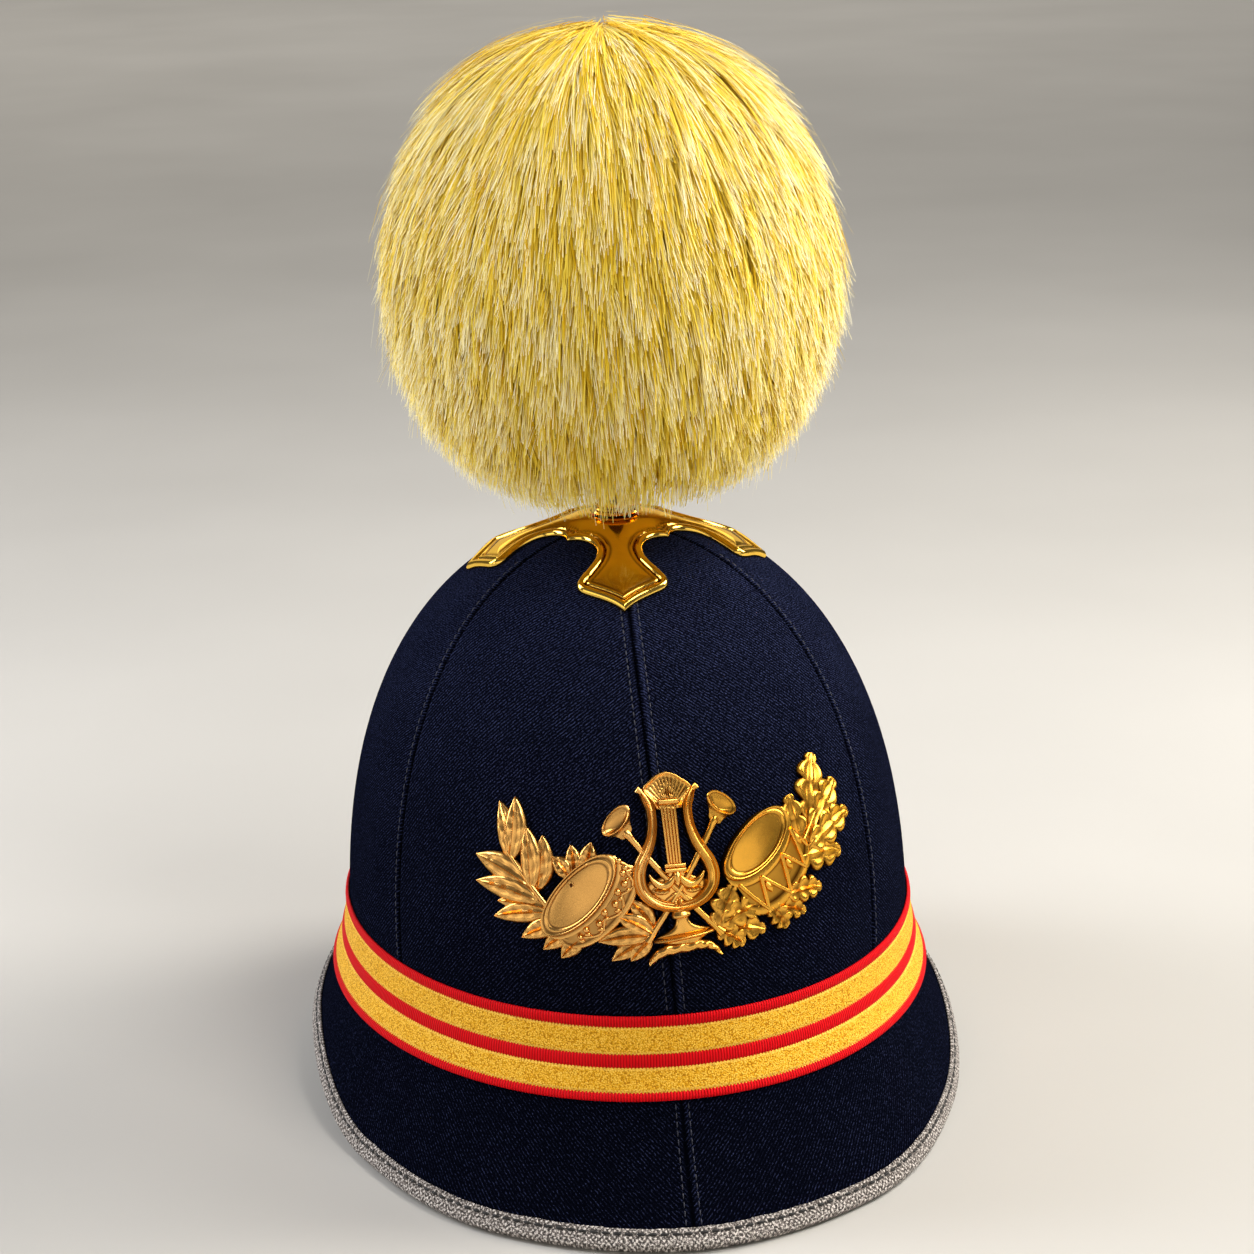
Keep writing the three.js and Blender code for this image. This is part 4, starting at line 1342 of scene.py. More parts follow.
@dataclass
class Band:
    """The woven braid that covers the join of crown and brim, red and gold by turns."""

    form: Form
    base: float = 0.4
    dip: float = 0.5
    columns: int = 420
    samples: int = 9
    stripes: tuple[Stripe, ...] = (
        Stripe(0.13, 1.2, 2.6),
        Stripe(0.33, 0.85, 14),
        Stripe(0.16, 1.1, 3.2),
        Stripe(0.28, 0.85, 14),
        Stripe(0.10, 1.2, 2.4),
    )

    def build(self, braid: Material) -> None:
        """Makes the braid with a rounded section for each stripe.

        Args:
            braid: its finish.
        """
        form, start = self.form, 0.0
        section = [(0.0, 0.0)]
        x = (1 - np.cos(np.linspace(0, np.pi, self.samples))) / 2
        for stripe in self.stripes:
            rise = self.dip + (stripe.raised - self.dip) * (1 - np.abs(2 * x - 1) ** stripe.square)
            section.extend(zip(start + stripe.share * np.clip(x, 0.004, 0.996), rise))
            start += stripe.share
        section.extend((drop, 0.0) for drop in (1.0, 0.75, 0.5, 0.25))
        drop, height = np.array(section).T[..., None]
        turn = circle(self.columns)
        z = form.band_top_z + (form.band_bottom_z - form.band_top_z) * drop
        along = run_lengths(form.shell(np.append(turn, 2 * np.pi), form.bottom_z))
        flat = stacked(along, np.append(drop, drop[:1], axis=0))
        soup = Soup()
        soup.grid(form.shell(turn, z, self.base + height), ring=True, loop=True, flat=flat)
        soup.piece("band_braid", braid, "striped_braid", "band")


# The brass on top


@dataclass
class Cross:
    """The stamped brass base with four spade-ended arms, a double bead round its edge and a domed middle."""

    form: Form
    turn_deg: float = -5.0
    reach: Row = (59.0, 52.0, 59.0, 52.0)
    arm: Table = (
        (17.3, 17.3), (19.0, 13.0), (22.6, 9.6), (28.0, 7.9), (33.4, 8.8), (38.0, 11.6), (41.0, 14.0),
        (43.2, 15.2), (45.2, 15.0), (47.2, 13.4), (49.4, 10.0), (51.6, 6.2), (53.8, 2.8), (56.0, 0.15),
    )
    bead_at: float = 1.45
    second_at: float = 3.95
    plate: float = 0.8
    pillow: float = 1.7
    blend: float = 1.8
    boss_radius: float = 24.0
    boss_flat: float = 9.5
    boss_top_z: float = 204.4
    seat: float = 0.25
    columns: int = 59
    centre_rows: int = 24

    def bead(self, distance: Array, eased: Array) -> Array:
        """Height of the plate by the distance from its edge: two beads, then a pillowed middle.

        Args:
            distance: distances from the edge.
            eased: the same without creases.

        Returns:
            The heights.
        """
        outer = 2.4 * dome((distance - self.bead_at) / 1.55)
        second = 1.8 * dome((distance - self.second_at) / 0.85)
        pillow = self.plate + self.pillow * (1 - (1 - np.clip((eased - 3.2) / 6.0, 0, 1)) ** 2)
        low = np.where(distance > self.second_at, pillow, np.where(distance > self.bead_at, 0.6, 0.35))
        return np.maximum(np.maximum(outer, second), low)

    def arm_line(self, reach: float) -> Array:
        """Edge of an arm, as distance along it and half width, from the cusp to the tip.

        Args:
            reach: distance of the tip from the middle of the cross.

        Returns:
            The points of the edge, one row each.
        """
        along, half = np.array(self.arm).T
        cusp, tip = along[0], along[-1]
        return smooth_line(np.stack([cusp + (along - cusp) * (reach - cusp) / (tip - cusp), half], -1), 6)

    def edge_distance(
        self, arm: int, along: Array, across: Array, outlines: Sequence[Array]
    ) -> tuple[Array, Array]:
        """Distance from the cross's edge, for points of one arm.

        Args:
            arm: the number of the arm.
            along: places along it.
            across: places across it.
            outlines: the edges of all the arms.

        Returns:
            The distance to the nearest edge of the arm or of its neighbours, and the same without creases.
        """
        edges = []
        for hand in (-1, 1):
            beside = outlines[(arm + hand) % len(outlines)]
            edges.append(outlines[arm] * np.array([1, hand]))
            edges.append(np.stack([beside[:, 1], hand * beside[:, 0]], -1))
        distances = np.array([line_distance(along, across, edge) for edge in edges])
        return distances.min(0), -np.log(np.exp(-distances / self.blend).sum(0)) * self.blend

    def build(self, brass: Material) -> None:
        """Makes the four arms, which meet on the diagonals.

        Args:
            brass: their finish.
        """
        soup = Soup()
        share = np.linspace(-1, 1, self.columns)
        share = np.sign(share) * (1 - (1 - np.abs(share)) ** 1.7)
        outlines = [self.arm_line(reach) for reach in self.reach]
        inside = np.linspace(0.02, 1, self.centre_rows)[:-1] * self.arm[0][0]
        boss_rise = self.boss_top_z - self.form.top_z - self.plate - self.pillow
        for arm, outline in enumerate(outlines):
            angle = math.radians(self.turn_deg + 90 * (arm - 1))
            line = np.concatenate([np.stack([inside, inside], -1), outline])
            along, across = matched(line[:, :1], line[:, 1:] * share)
            distance, eased = self.edge_distance(arm, along, across, outlines)
            x = along * math.cos(angle) - across * math.sin(angle)
            y = along * math.sin(angle) + across * math.cos(angle)
            top = self.form.over_top(x, y, self.bead(distance, eased))
            rise = 1 - smoothstep(self.boss_flat, self.boss_radius, np.hypot(x, y))
            top[..., 2] = np.minimum(top[..., 2] + boss_rise * rise, self.boss_top_z)
            under = self.form.over_top(x, y, np.full(x.shape, self.seat))
            # Painted shade: the furrows between the beads are darkened, less so on the boss.
            furrows = bell(distance, 3.05, 0.34) + 0.8 * bell(distance, 4.85, 0.4)
            soup.slab(top, under, hollow=np.clip(furrows * (1 - 0.6 * rise), 0, 1))
        soup.piece("cross_brass", brass, "polished_brass", "cross_base", sharp_deg=50)


@dataclass
class Socket:
    """The turned brass ring on the cross, which holds the post of the plume."""

    low: float = 204.7
    outer: float = 9.0
    waist: float = 7.6
    bore: float = 3.9
    height: float = 4.2
    waist_up: float = 2.0
    sides: int = 64

    def build(self, brass: Material) -> None:
        """Makes the ring with a rolled foot and a rolled lip.

        Args:
            brass: its finish.
        """
        outer, waist = self.outer, self.waist
        foot = [(outer - 0.3, 0), (outer, 0.35), (outer - 0.25, 0.9), (waist + 0.2, 1.35)]
        neck = [(waist, self.waist_up), (waist + 0.3, 2.5)]
        lip = [(outer - 0.3, 2.9), (outer, 3.4), (outer - 0.35, 4.0), (outer - 1.2, self.height)]
        bore = [(self.bore, self.height), (self.bore, 0)]
        radius, up = np.array([bore[-1], *foot, *neck, *lip, *bore]).T[..., None]
        angle = circle(self.sides)
        # Painted shade: the waist between foot and lip is darkened.
        hollow = bell(up, self.waist_up, 0.6) * (radius > self.bore)
        soup = Soup()
        net = stacked(radius * np.sin(angle), -radius * np.cos(angle), self.low + up)
        soup.grid(net, ring=True, hollow=hollow)
        soup.piece("socket_brass", brass, "polished_brass", "plume_socket", sharp_deg=40)


# The plume


@dataclass(frozen=True)
class HairLayer:
    """One layer of hair: its tufts, the sizes of its strands in millimetres, how they stand and their tones.

    A matted layer follows the ball, and the strands of the others stand off it and hang below its middle.
    """

    name: str
    tufts: int
    strands: int
    points: int
    length: Pair
    width: float
    spread: float
    lift: float
    uneven: float
    stand_deg: float
    crinkle: float
    lean: float
    strays: float
    root_tone: float
    tip_tone: float
    tone_spread: float
    parts: int = 1
    matted: bool = False


@dataclass
class Plume:
    """The ball of hair: strands that fall from the middle of the top over one another, with loose tips.

    Angles on the ball are measured from its top, in radians.
    """

    centre_z: float = 283.0
    radius: float = 79.5
    up: float = 88.0
    down: float = 73.8
    fullness: Pair = (0.8, 0.68)
    lopsided: float = 0.014
    seed: int = 11
    pole: float = 0.012
    tips: Pair = (0.1, 2.9)
    bare_radius: float = 15.0
    hang_deg: float = 30.0
    core_rows: int = 40
    core_columns: int = 72
    core_depth: float = 10.0
    pole_depth: float = 1.2
    low_depth: float = 3.2
    ribbon_apart: float = 3.7
    core_tone: float = 0.5
    strand_tone: float = 0.065
    # Painted light: strands on the left and right sides are made paler, as if the side lamps shone through
    # them.
    side_light_tone: float = 0.1
    # Painted shade: strands towards the bottom of the ball are made darker and more orange.
    underside_shade_tone: float = 0.13
    layers: tuple[HairLayer, ...] = (
        HairLayer(
            "under", tufts=8600, strands=1, points=7, length=(45, 75), width=1.0, spread=0.0, lift=-2.3,
            uneven=0.3, stand_deg=5, crinkle=0.1, lean=0.03, strays=0.0, root_tone=0.38, tip_tone=0.46,
            tone_spread=0.06, matted=True,
        ),
        HairLayer(
            "middle", tufts=5040, strands=3, points=6, length=(36, 64), width=0.5, spread=1.1, lift=-0.9,
            uneven=0.5, stand_deg=15, crinkle=0.14, lean=0.05, strays=0.01, root_tone=0.4, tip_tone=0.72,
            tone_spread=0.09,
        ),
        HairLayer(
            "over", tufts=4200, strands=5, points=7, length=(30, 56), width=0.3, spread=1.0, lift=0.2,
            uneven=0.8, stand_deg=22, crinkle=0.2, lean=0.08, strays=0.035, root_tone=0.42, tip_tone=1.0,
            tone_spread=0.12, parts=2,
        ),
    )

    def ball(self, polar: Array, azimuth: Array, height: Array) -> Array:
        """Points of the ball, by the angle from the top, the azimuth and the height off its surface.

        Args:
            polar: angle from the top.
            azimuth: angle from the front.
            height: height off the ball.

        Returns:
            The points.
        """
        upper = np.cos(polar) > 0
        sine = np.maximum(np.sin(polar), 0)
        reach = (self.radius + height) * sine ** np.where(upper, *self.fullness)
        reach = reach * (1 + self.lopsided * np.sin(azimuth))
        z = self.centre_z + (np.where(upper, self.up, self.down) + height) * np.cos(polar)
        return stacked(reach * np.sin(azimuth), -reach * np.cos(azimuth), z)

    def core(self, hair: Material) -> None:
        """Makes the solid ball under the hair, which comes up close under the middle of the top.

        Args:
            hair: its finish.
        """
        polar = np.linspace(0.02, 2.95, self.core_rows)[:, None]
        depth = self.pole_depth + (self.core_depth - self.pole_depth) * smoothstep(0.0, 0.35, polar)
        net = self.ball(polar, circle(self.core_columns), -depth)
        soup = Soup()
        soup.grid(net, ring=True, tint=self.core_tone)
        for end in (0, -1):
            soup.cap(net[end], tint=self.core_tone)
        soup.piece("plume_core", hair, "yellow_hair", "plume")

    def paths(self, layer: HairLayer, rng: np.random.Generator) -> tuple[Array, Array, Array]:
        """Draws the strands of a layer, each on a curve with one bend.

        Args:
            layer: its sizes.
            rng: the source of random numbers.

        Returns:
            The points of the strands, their tones by point, and their lengths.
        """
        tufts, loose = layer.tufts, not layer.matted
        # What the strands of a tuft share.
        tuft_tip = np.arccos(np.clip(1 - 2 * rng.uniform(0.003, 0.985, tufts), -1, 1))
        tuft_turn = rng.uniform(0, 2 * np.pi, tufts)
        tuft_length = rng.uniform(*layer.length, tufts)
        tuft_lift = layer.lift + layer.uneven * (rng.exponential(1.0, tufts) - 0.6)
        tuft_tone = rng.normal(0, layer.tone_spread, tufts)
        tuft_stand = layer.stand_deg * rng.uniform(0.35, 1.75, tufts)
        drift = 0.05 * np.sin(3 * tuft_turn + 1.3) + 0.04 * np.sin(7 * tuft_turn + 4 * tuft_tip)
        tuft_lean = drift + rng.normal(0, layer.lean, tufts)
        tuft_fade = rng.uniform(2.2, 6.0, tufts)
        # Where each strand begins and ends, and how far off the ball.
        pick = np.repeat(np.arange(tufts), layer.strands)
        total = len(pick)
        lean = tuft_lean[pick]
        tip = tuft_tip[pick] + rng.normal(0, 2.4 * layer.spread, total) / self.radius
        tip = np.clip(tip, *self.tips)
        root = tip - tuft_length[pick] * rng.uniform(0.85, 1.1, total) / self.radius
        root = np.maximum(root, self.pole)
        length = (tip - root) * self.radius
        circuit = self.radius * np.maximum(np.sin(tip), 0.22)
        turn = tuft_turn[pick] + rng.normal(0, 0.75 * layer.spread, total) / circuit
        lift = tuft_lift[pick] + rng.normal(0, 0.4 * layer.uneven, total)
        stray = rng.uniform(size=total) < layer.strays
        lift = lift + np.where(stray, rng.uniform(1.0, 4.0, total), 0)
        lift = np.where(lift > 0, lift * (0.25 + 0.75 * smoothstep(0.1, 0.8, tip)), lift)
        lift = lift - self.low_depth * layer.matted * smoothstep(1.4, 2.2, tip)
        # How the tips stand off the ball, more to the sides and below than on top.
        hang = self.hang_deg * loose * smoothstep(1.5, 2.5, tip)
        stand = np.radians(tuft_stand[pick] * (0.3 + 0.7 * smoothstep(0.4, 1.65, tip)) + hang)[:, None]
        end, before, after = (self.ball(tip + step, turn, lift) for step in (0, -0.02, 0.02))
        down = unit(after - before)
        level = stacked(np.cos(turn), np.sin(turn), 0)
        out = np.cross(down, level)
        heading = unit(down * np.cos(stand) + out * np.sin(stand) + level * lean[:, None])
        bend = end - heading * (0.5 * length)[:, None]
        deep = 0.45 * length * np.sin(stand[:, 0]) * (0.3 + 0.7 * smoothstep(0.05, 0.7, root))
        begin = self.ball(root, turn - lean * length / self.radius, lift - deep)
        # Loose strands grow straighter from the top down, and come out of the ball.
        straight = smoothstep(0.7, 1.6, tip)[:, None] * loose
        chord = np.minimum(length[:, None], 1.1 * self.radius * np.sin(stand))
        begin = begin + (end - heading * chord - begin) * straight
        bend = bend + ((begin + end) / 2 - bend) * straight * 0.8
        # The curve itself, with its wander to the side and its tones.
        s = np.linspace(0, 1, layer.points)
        t = s[:, None]
        strands = (1 - t) ** 2 * begin[:, None] + 2 * t * (1 - t) * bend[:, None] + t**2 * end[:, None]
        side = rng.normal(0, 0.6 * layer.spread, total)[:, None] * (1 - s)
        crinkle = np.cumsum(rng.normal(0, layer.crinkle, (total, layer.points)), axis=1)
        crinkle = crinkle - crinkle[:, -1:] * s
        strands = strands + level[:, None] * (side + crinkle)[..., None]
        tone = tuft_tone[pick] + rng.normal(0, self.strand_tone, total)
        # Painted light and shade: paler on the left and right sides, darker towards the bottom.
        tone = tone + self.side_light_tone * np.sin(turn) ** 2 - self.underside_shade_tone * smoothstep(1.7, 2.4, tip)
        fade = s ** tuft_fade[pick][:, None]
        tone = layer.root_tone + (layer.tip_tone - layer.root_tone) * fade + tone[:, None]
        keep = np.hypot(end[:, 0], end[:, 1]) > self.bare_radius * (end[:, 2] < self.centre_z)
        return strands[keep], np.clip(tone, 0.02, 1)[keep], length[keep]

    def comb(self, layer: HairLayer, rng: np.random.Generator, hair: Material) -> None:
        """Makes a layer's strands as flat ribbons, in one piece or more.

        Real hair is some 0.1 mm thick, and is drawn coarser so that it covers the ball.

        Args:
            layer: its sizes.
            rng: the source of random numbers.
            hair: the finish that it gets.
        """
        strands, tone, length = self.paths(layer, rng)
        total = len(strands)
        s = np.linspace(0, 1, layer.points)
        size = layer.width * rng.uniform(0.75, 1.2, total)[:, None] * (1 - 0.5 * s**3)
        tangent = unit(np.gradient(strands, axis=1))
        level = unit(np.cross(tangent, unit(strands - np.array([0, 0, self.centre_z]))))
        twist = rng.normal(0, 0.3, total)[:, None, None]
        blade = level * np.cos(twist) + np.cross(tangent, level) * np.sin(twist)
        half = blade * size[..., None] / 2
        ribbons = np.stack([strands - half, strands + half], 2)
        # The ribbons lie apart in the flat, so that no two have the same streaks.
        across = np.arange(total)[:, None, None] * self.ribbon_apart + np.stack([-size / 2, size / 2], -1)
        flat = stacked(across, (s * length[:, None])[..., None])
        steps = np.arange(layer.points - 1) * 2
        for part, chunk in enumerate(np.array_split(np.arange(total), layer.parts)):
            base = (np.arange(len(chunk)) * layer.points * 2)[:, None] + steps
            quads = np.stack([base, base + 1, base + 3, base + 2], -1).reshape(-1, 4)
            soup = Soup()
            tints = np.repeat(tone[chunk].ravel(), 2)
            soup.add(ribbons[chunk].reshape(-1, 3), quads, flat[chunk].reshape(-1, 2)[quads], tints)
            soup.piece(f"plume_hair_{layer.name}_{part + 1}", hair, "yellow_hair", "plume", weld=False)

    def build(self, hair: Material) -> None:
        """Makes the ball and combs its layers over it.

        Args:
            hair: their finish.
        """
        rng = np.random.default_rng(self.seed)
        self.core(hair)
        for layer in self.layers:
            self.comb(layer, rng, hair)


# The badge


@dataclass(frozen=True)
class LeafKind:
    """How the leaves of a plant are struck: their rows of points, lobes, outline and relief."""

    rows: int
    lobes: float
    fullness: float
    forward: float
    height: float
    flatness: float
    veins: float
    rim: float
    layer: float


LAUREL = LeafKind(
    rows=22, lobes=0, fullness=0.75, forward=0.05, height=1.15, flatness=3.2, veins=4.5, rim=0.2, layer=0.32
)
OAK = LeafKind(
    rows=40, lobes=3.4, fullness=0.5, forward=0.12, height=0.75, flatness=8, veins=3.4, rim=0.35, layer=0.5
)


@dataclass(frozen=True)
class Leaf:
    """A leaf of the badge, by the places of its base and its tip and its width."""

    base: Pair
    tip: Pair
    width: float


@dataclass(frozen=True)
class Oval:
    """A round rim seen at a slant: the place of its middle and its half axes."""

    centre: Pair
    major: Pair
    minor: Pair

    def spokes(self, angle: Array) -> Array:
        """Steps from the middle to the rim at angles."""
        return np.cos(angle)[:, None] * np.array(self.major) + np.sin(angle)[:, None] * np.array(self.minor)


@dataclass(frozen=True)
class Drum(Oval):
    """A drum of the badge: its head's rim, the shift from its head to its foot and how matt its skin is."""

    shift: Pair
    matt: float
    roped: bool

    def on_shell(self, angle: Array, slide: Array, rise: float) -> Array:
        """Places on the shell, by the angle round it and the share from its head to its foot."""
        flat = np.array(self.centre) + 0.985 * self.spokes(angle) + slide[:, None] * np.array(self.shift)
        return np.column_stack([flat, 4.0 - 2.3 * slide + rise])

    def seen_angles(self) -> Pair:
        """First and last angle of the shell's side that can be seen.

        Returns:
            The two angles.
        """
        angles = np.linspace(0, 2 * np.pi, 720)
        facing = self.spokes(angles) @ np.array(self.shift)
        middle = angles[np.argmax(facing)]
        seen = np.sort(near_turn(angles[facing > 0.3 * facing.max()] - middle))
        return middle + seen[0], middle + seen[-1]


@dataclass(frozen=True)
class Trumpet(Oval):
    """A trumpet of the badge: its bell's rim and the place of its far end."""

    end: Pair


def rolled(across: Array) -> Array:
    """Section of the lyre's arms: a broad roll with a raised edge on each side."""
    ridges = 0.95 * bell(across, 0.8, 0.16) + 1.1 * bell(across, 0.0, 0.36) + 0.7 * bell(across, -0.8, 0.14)
    return 0.5 + (1.6 + ridges) * (1 - np.abs(across) ** 10)


def ringed(along: Array, across: Array) -> Array:
    """Section of the lyre's stand: half round, with turned rings."""
    rings = 0.5 * bell(along, 0.15, 0.06) + 0.7 * bell(along, 0.79, 0.05) - 0.5 * bell(along, 0.69, 0.03)
    return 0.5 + (2.0 + rings) * dome(across, 0.35) + 0.4 * rings


def fluted(along: Array, across: Array) -> Array:
    """Section of the lyre's foot: half round, with slanting flutes."""
    return 0.5 + 2.0 * dome(across) + 0.28 * np.cos(along * 44 + across * 2.2)


@dataclass
class Badge:
    """The struck gilt badge, drawn flat and bent round the front of the crown.

    The drawing has u across, v up and w away from the cloth. A line of the lyre gives u, v and a half width,
    or v and a half width. A ring of a drum or trumpet gives a share of the rim, w, a share of the shift to
    its foot and how deep it lies, which darkens it as painted shade.
    """

    form: Form
    azimuth_deg: float = 1.0
    centre_z: float = 112.0
    arc_radius: float = 98.5
    back: float = 0.3
    lean: float = -0.035
    yellower: Pair = (-16.0, 22.0)
    laurel: tuple[Leaf, ...] = (
        Leaf((-56, 3), (-62, 20), 6), Leaf((-56, 3), (-56, 22), 6.6), Leaf((-48, -5), (-51, 14), 6),
        Leaf((-46, -5), (-45, 12), 6.2), Leaf((-48, -4), (-69, 3), 6.8), Leaf((-45, -8), (-68, -5), 6),
        Leaf((-42, -10), (-60, -10), 5.4), Leaf((-42, -11), (-61, -15), 5.4), Leaf((-38, -14), (-51, -20), 5),
        Leaf((-34, -16), (-44, -23), 4.8), Leaf((-31, -18), (-38, -25), 4.8), Leaf((-35, 0), (-41, 6), 4.6),
        Leaf((-34, 0), (-35, 10), 4.8), Leaf((-31, 2), (-28, 11), 5), Leaf((-9, -17), (-26, -19), 5),
        Leaf((-9, -18), (-22, -25), 5), Leaf((-9, -18), (-16, -25), 4.6), Leaf((-8, -17), (-20, -11), 5.2),
        Leaf((-8, -15), (-16, -6), 5.2),
    )
    oak: tuple[Leaf, ...] = (
        Leaf((53, 7), (62, 27), 11), Leaf((52, 5), (69, 17), 9.6), Leaf((50, 1), (71, 7), 9),
        Leaf((47, 0), (46, 18), 9.6), Leaf((43, -1), (64, -4), 9), Leaf((38, -11), (52, -12), 6.8),
        Leaf((33, -14), (45, -18), 6.2), Leaf((31, -13), (37, -21), 6.2), Leaf((12, -17), (19, -4), 7.8),
        Leaf((12, -17), (29, -20), 7.6), Leaf((12, -17), (21, -23), 6.4), Leaf((13, -16), (27, -11), 7.6),
    )
    stems: tuple[tuple[Pair, Pair], ...] = (((-38, -14), (-57.5, 6)), ((38, -6), (56, 11)))
    drums: tuple[Drum, ...] = (
        Drum((-31.6, -5.0), (10.8, 12.0), (5.4, -4.2), shift=(7.4, -3.8), matt=0.15, roped=False),
        Drum((27.9, 6.7), (11.8, 8.1), (4.8, -5.0), shift=(9.4, -13), matt=0.05, roped=True),
    )
    # The last column of the drum and trumpet tables darkens each ring as painted shade.
    drum_rim: Table = (
        (0.79, 4.5, 0, 0.8), (0.81, 4.75, 0, 0.3), (0.84, 5.15, 0, 0), (0.87, 5.2, 0, 0), (0.9, 4.9, 0, 0.7),
        (0.925, 4.85, 0, 0.7), (0.95, 5.2, 0, 0), (0.98, 5.25, 0, 0), (1.0, 4.9, 0, 0.2),
        (1.01, 4.2, 0.02, 0.6),
    )
    drum_shell: Table = (
        (0.9, 4.2, 0.0, 1), (0.99, 4.1, 0.05, 0.6), (1.03, 4.0, 0.1, 0), (1.03, 3.8, 0.16, 0),
        (0.98, 3.5, 0.2, 0.9), (0.955, 3.3, 0.26, 0.4), (0.955, 2.6, 0.66, 0.4), (0.97, 2.4, 0.75, 0.9),
        (1.02, 2.5, 0.8, 0.1), (1.035, 2.2, 0.88, 0), (1.02, 1.7, 0.96, 0.2), (0.98, 1.3, 1.0, 0.7),
    )
    head_hole: Pair = (-33.8, -1.7)
    head_hole_radius: float = 0.75
    trumpets: tuple[Trumpet, ...] = (
        Trumpet((-19.2, 17.2), (4.3, 3.9), (1.9, -2.0), end=(13.6, -18.2)),
        Trumpet((17.4, 20.0), (4.6, -2.8), (-1.4, -2.4), end=(-10.6, -19.0)),
    )
    trumpet_bell: Table = (
        (0.03, 3.0, 0.3, 0.5), (0.3, 3.1, 0.25, 0.4), (0.55, 3.5, 0.1, 0.2), (0.74, 4.0, 0.02, 0.3),
        (0.82, 4.2, 0, 0.7), (0.87, 4.6, 0, 0.1), (0.94, 4.8, 0, 0), (1.0, 4.6, 0, 0), (1.02, 4.1, 0.03, 0.3),
        (0.92, 3.4, 0.2, 0.3), (0.7, 2.9, 0.45, 0.2), (0.52, 2.6, 0.75, 0.2), (0.44, 2.4, 1.0, 0.3),
    )
    lyre_arm: Table = (
        (10.4, 25.9, 0.5), (9.2, 25.2, 1.2), (7.6, 23.2, 1.95), (6.5, 20.6, 1.9), (6.3, 17.2, 1.8),
        (6.7, 14.0, 1.85), (7.8, 10.7, 2.0), (9.6, 7.4, 2.15), (11.5, 4.2, 2.35), (12.3, 0.6, 2.4),
        (11.5, -3.0, 2.25), (9.1, -5.9, 2.05), (6.0, -7.7, 1.85), (2.8, -8.5, 1.75), (0.0, -8.7, 1.7),
    )
    fan: Table = (
        (20.2, 4.6), (22.2, 5.9), (24.2, 8.0), (26.0, 8.9), (27.4, 7.8), (28.6, 5.8), (29.6, 4.2),
        (30.3, 2.4), (30.7, 0.3),
    )
    string_ends: Pair = (21.4, 4.2)
    bars: Table = ((22.2, 3.2, 1.0), (3.8, 3.4, 0.75), (2.4, 3.3, 0.8))
    plate: Table = (
        (3.4, 3.2), (1.6, 3.4), (0.4, 6.0), (-0.8, 9.4), (-2.4, 10.6), (-4.4, 9.6), (-6.4, 7.0), (-8.0, 3.6),
    )
    scroll: Table = (
        (9.0, 1.4, 0.4), (8.0, -0.2, 0.9), (6.2, -1.7, 1.35), (4.2, -2.1, 1.5), (2.4, -1.3, 1.4),
        (1.1, 0.2, 1.0), (0.7, 1.6, 0.5),
    )
    zigzag: Table = ((8.2, -4.8), (5.1, -7.0), (3.0, -6.0), (1.0, -4.7), (0.0, -5.4))
    pedestal: Table = (
        (-9.6, 2.5), (-10.6, 3.1), (-11.8, 3.1), (-12.4, 2.3), (-13.4, 2.5), (-14.6, 3.4), (-15.6, 5.2),
        (-16.6, 7.8), (-17.5, 9.9), (-18.4, 9.9), (-19.2, 7.0), (-19.9, 4.4),
    )
    foot: Table = (
        (-10.1, -26.2, 0.7), (-8.6, -24.4, 1.3), (-6.2, -22.7, 1.7), (-2.8, -21.8, 1.8), (1.6, -21.4, 1.8),
        (5.8, -21.0, 1.7), (8.8, -21.3, 1.5), (11.2, -22.7, 1.1), (12.9, -24.8, 0.6),
    )
    soup: Soup = field(default_factory=Soup)

    def bend(self, place: Array, w: Values) -> Array:
        """Bends points of the flat drawing round the crown, at a distance from the cloth."""
        azimuth = math.radians(self.azimuth_deg) + place[..., 0] / self.arc_radius
        return self.form.off_cloth(azimuth, self.centre_z + place[..., 1], w)

    def tone(self, place: Array) -> Array:
        """Share of the yellower gilt, which grows from left to right."""
        return smoothstep(*self.yellower, place[..., 0])

    def leaning(self, v: Values) -> Array:
        """Place of the lyre's middle line, which leans a little."""
        return self.lean * np.maximum(v, 0)

    def surface(self, place: Array, w: Array, deep: Array | None = None) -> None:
        """Adds a raised shape, closed underneath.

        Args:
            place: its points on the drawing, by row and column.
            w: their distances from the cloth.
            deep: how deep they lie from 0 to 1, or else it follows from the highest point of each row.
        """
        # Painted shade: points lower than the highest of their row are darkened, which draws dark outlines.
        if deep is None:
            deep = np.clip((w.max(axis=1, keepdims=True) - w) / 1.5, 0, 1) ** 1.7 * 0.85
        top = self.bend(place, np.maximum(w, self.back + 0.25))
        self.soup.slab(top, self.bend(place, self.back), self.tone(place), deep)

    def relief(
        self, line: Array, half: Array, height: Callable[[Array, Array], Array], columns: int = 15
    ) -> None:
        """Adds a raised shape along a line of the drawing.

        Args:
            line: its middle, one row of u and v for each point.
            half: its half width at those points.
            height: its height above the back by the share along and the place across from -1 to 1.
            columns: how many points lie across it.
        """
        tangent = unit(np.gradient(line, axis=0))
        side = np.stack([tangent[:, 1], -tangent[:, 0]], -1)
        along, across = matched(np.linspace(0, 1, len(line))[:, None], bunched(columns))
        place = line[:, None] + side[:, None] * (half[:, None] * across)[..., None]
        self.surface(place, self.back + height(along, across))

    def rod(self, points: Array | Sequence[Sequence[float]], radius: Values, sides: int = 10) -> None:
        """Adds a round rod through places of the drawing, each with u, v and w."""
        line = np.asarray(points, float)
        self.soup.tube(self.bend(line, line[:, 2]), np.asarray(radius), sides, tint=self.tone(line))

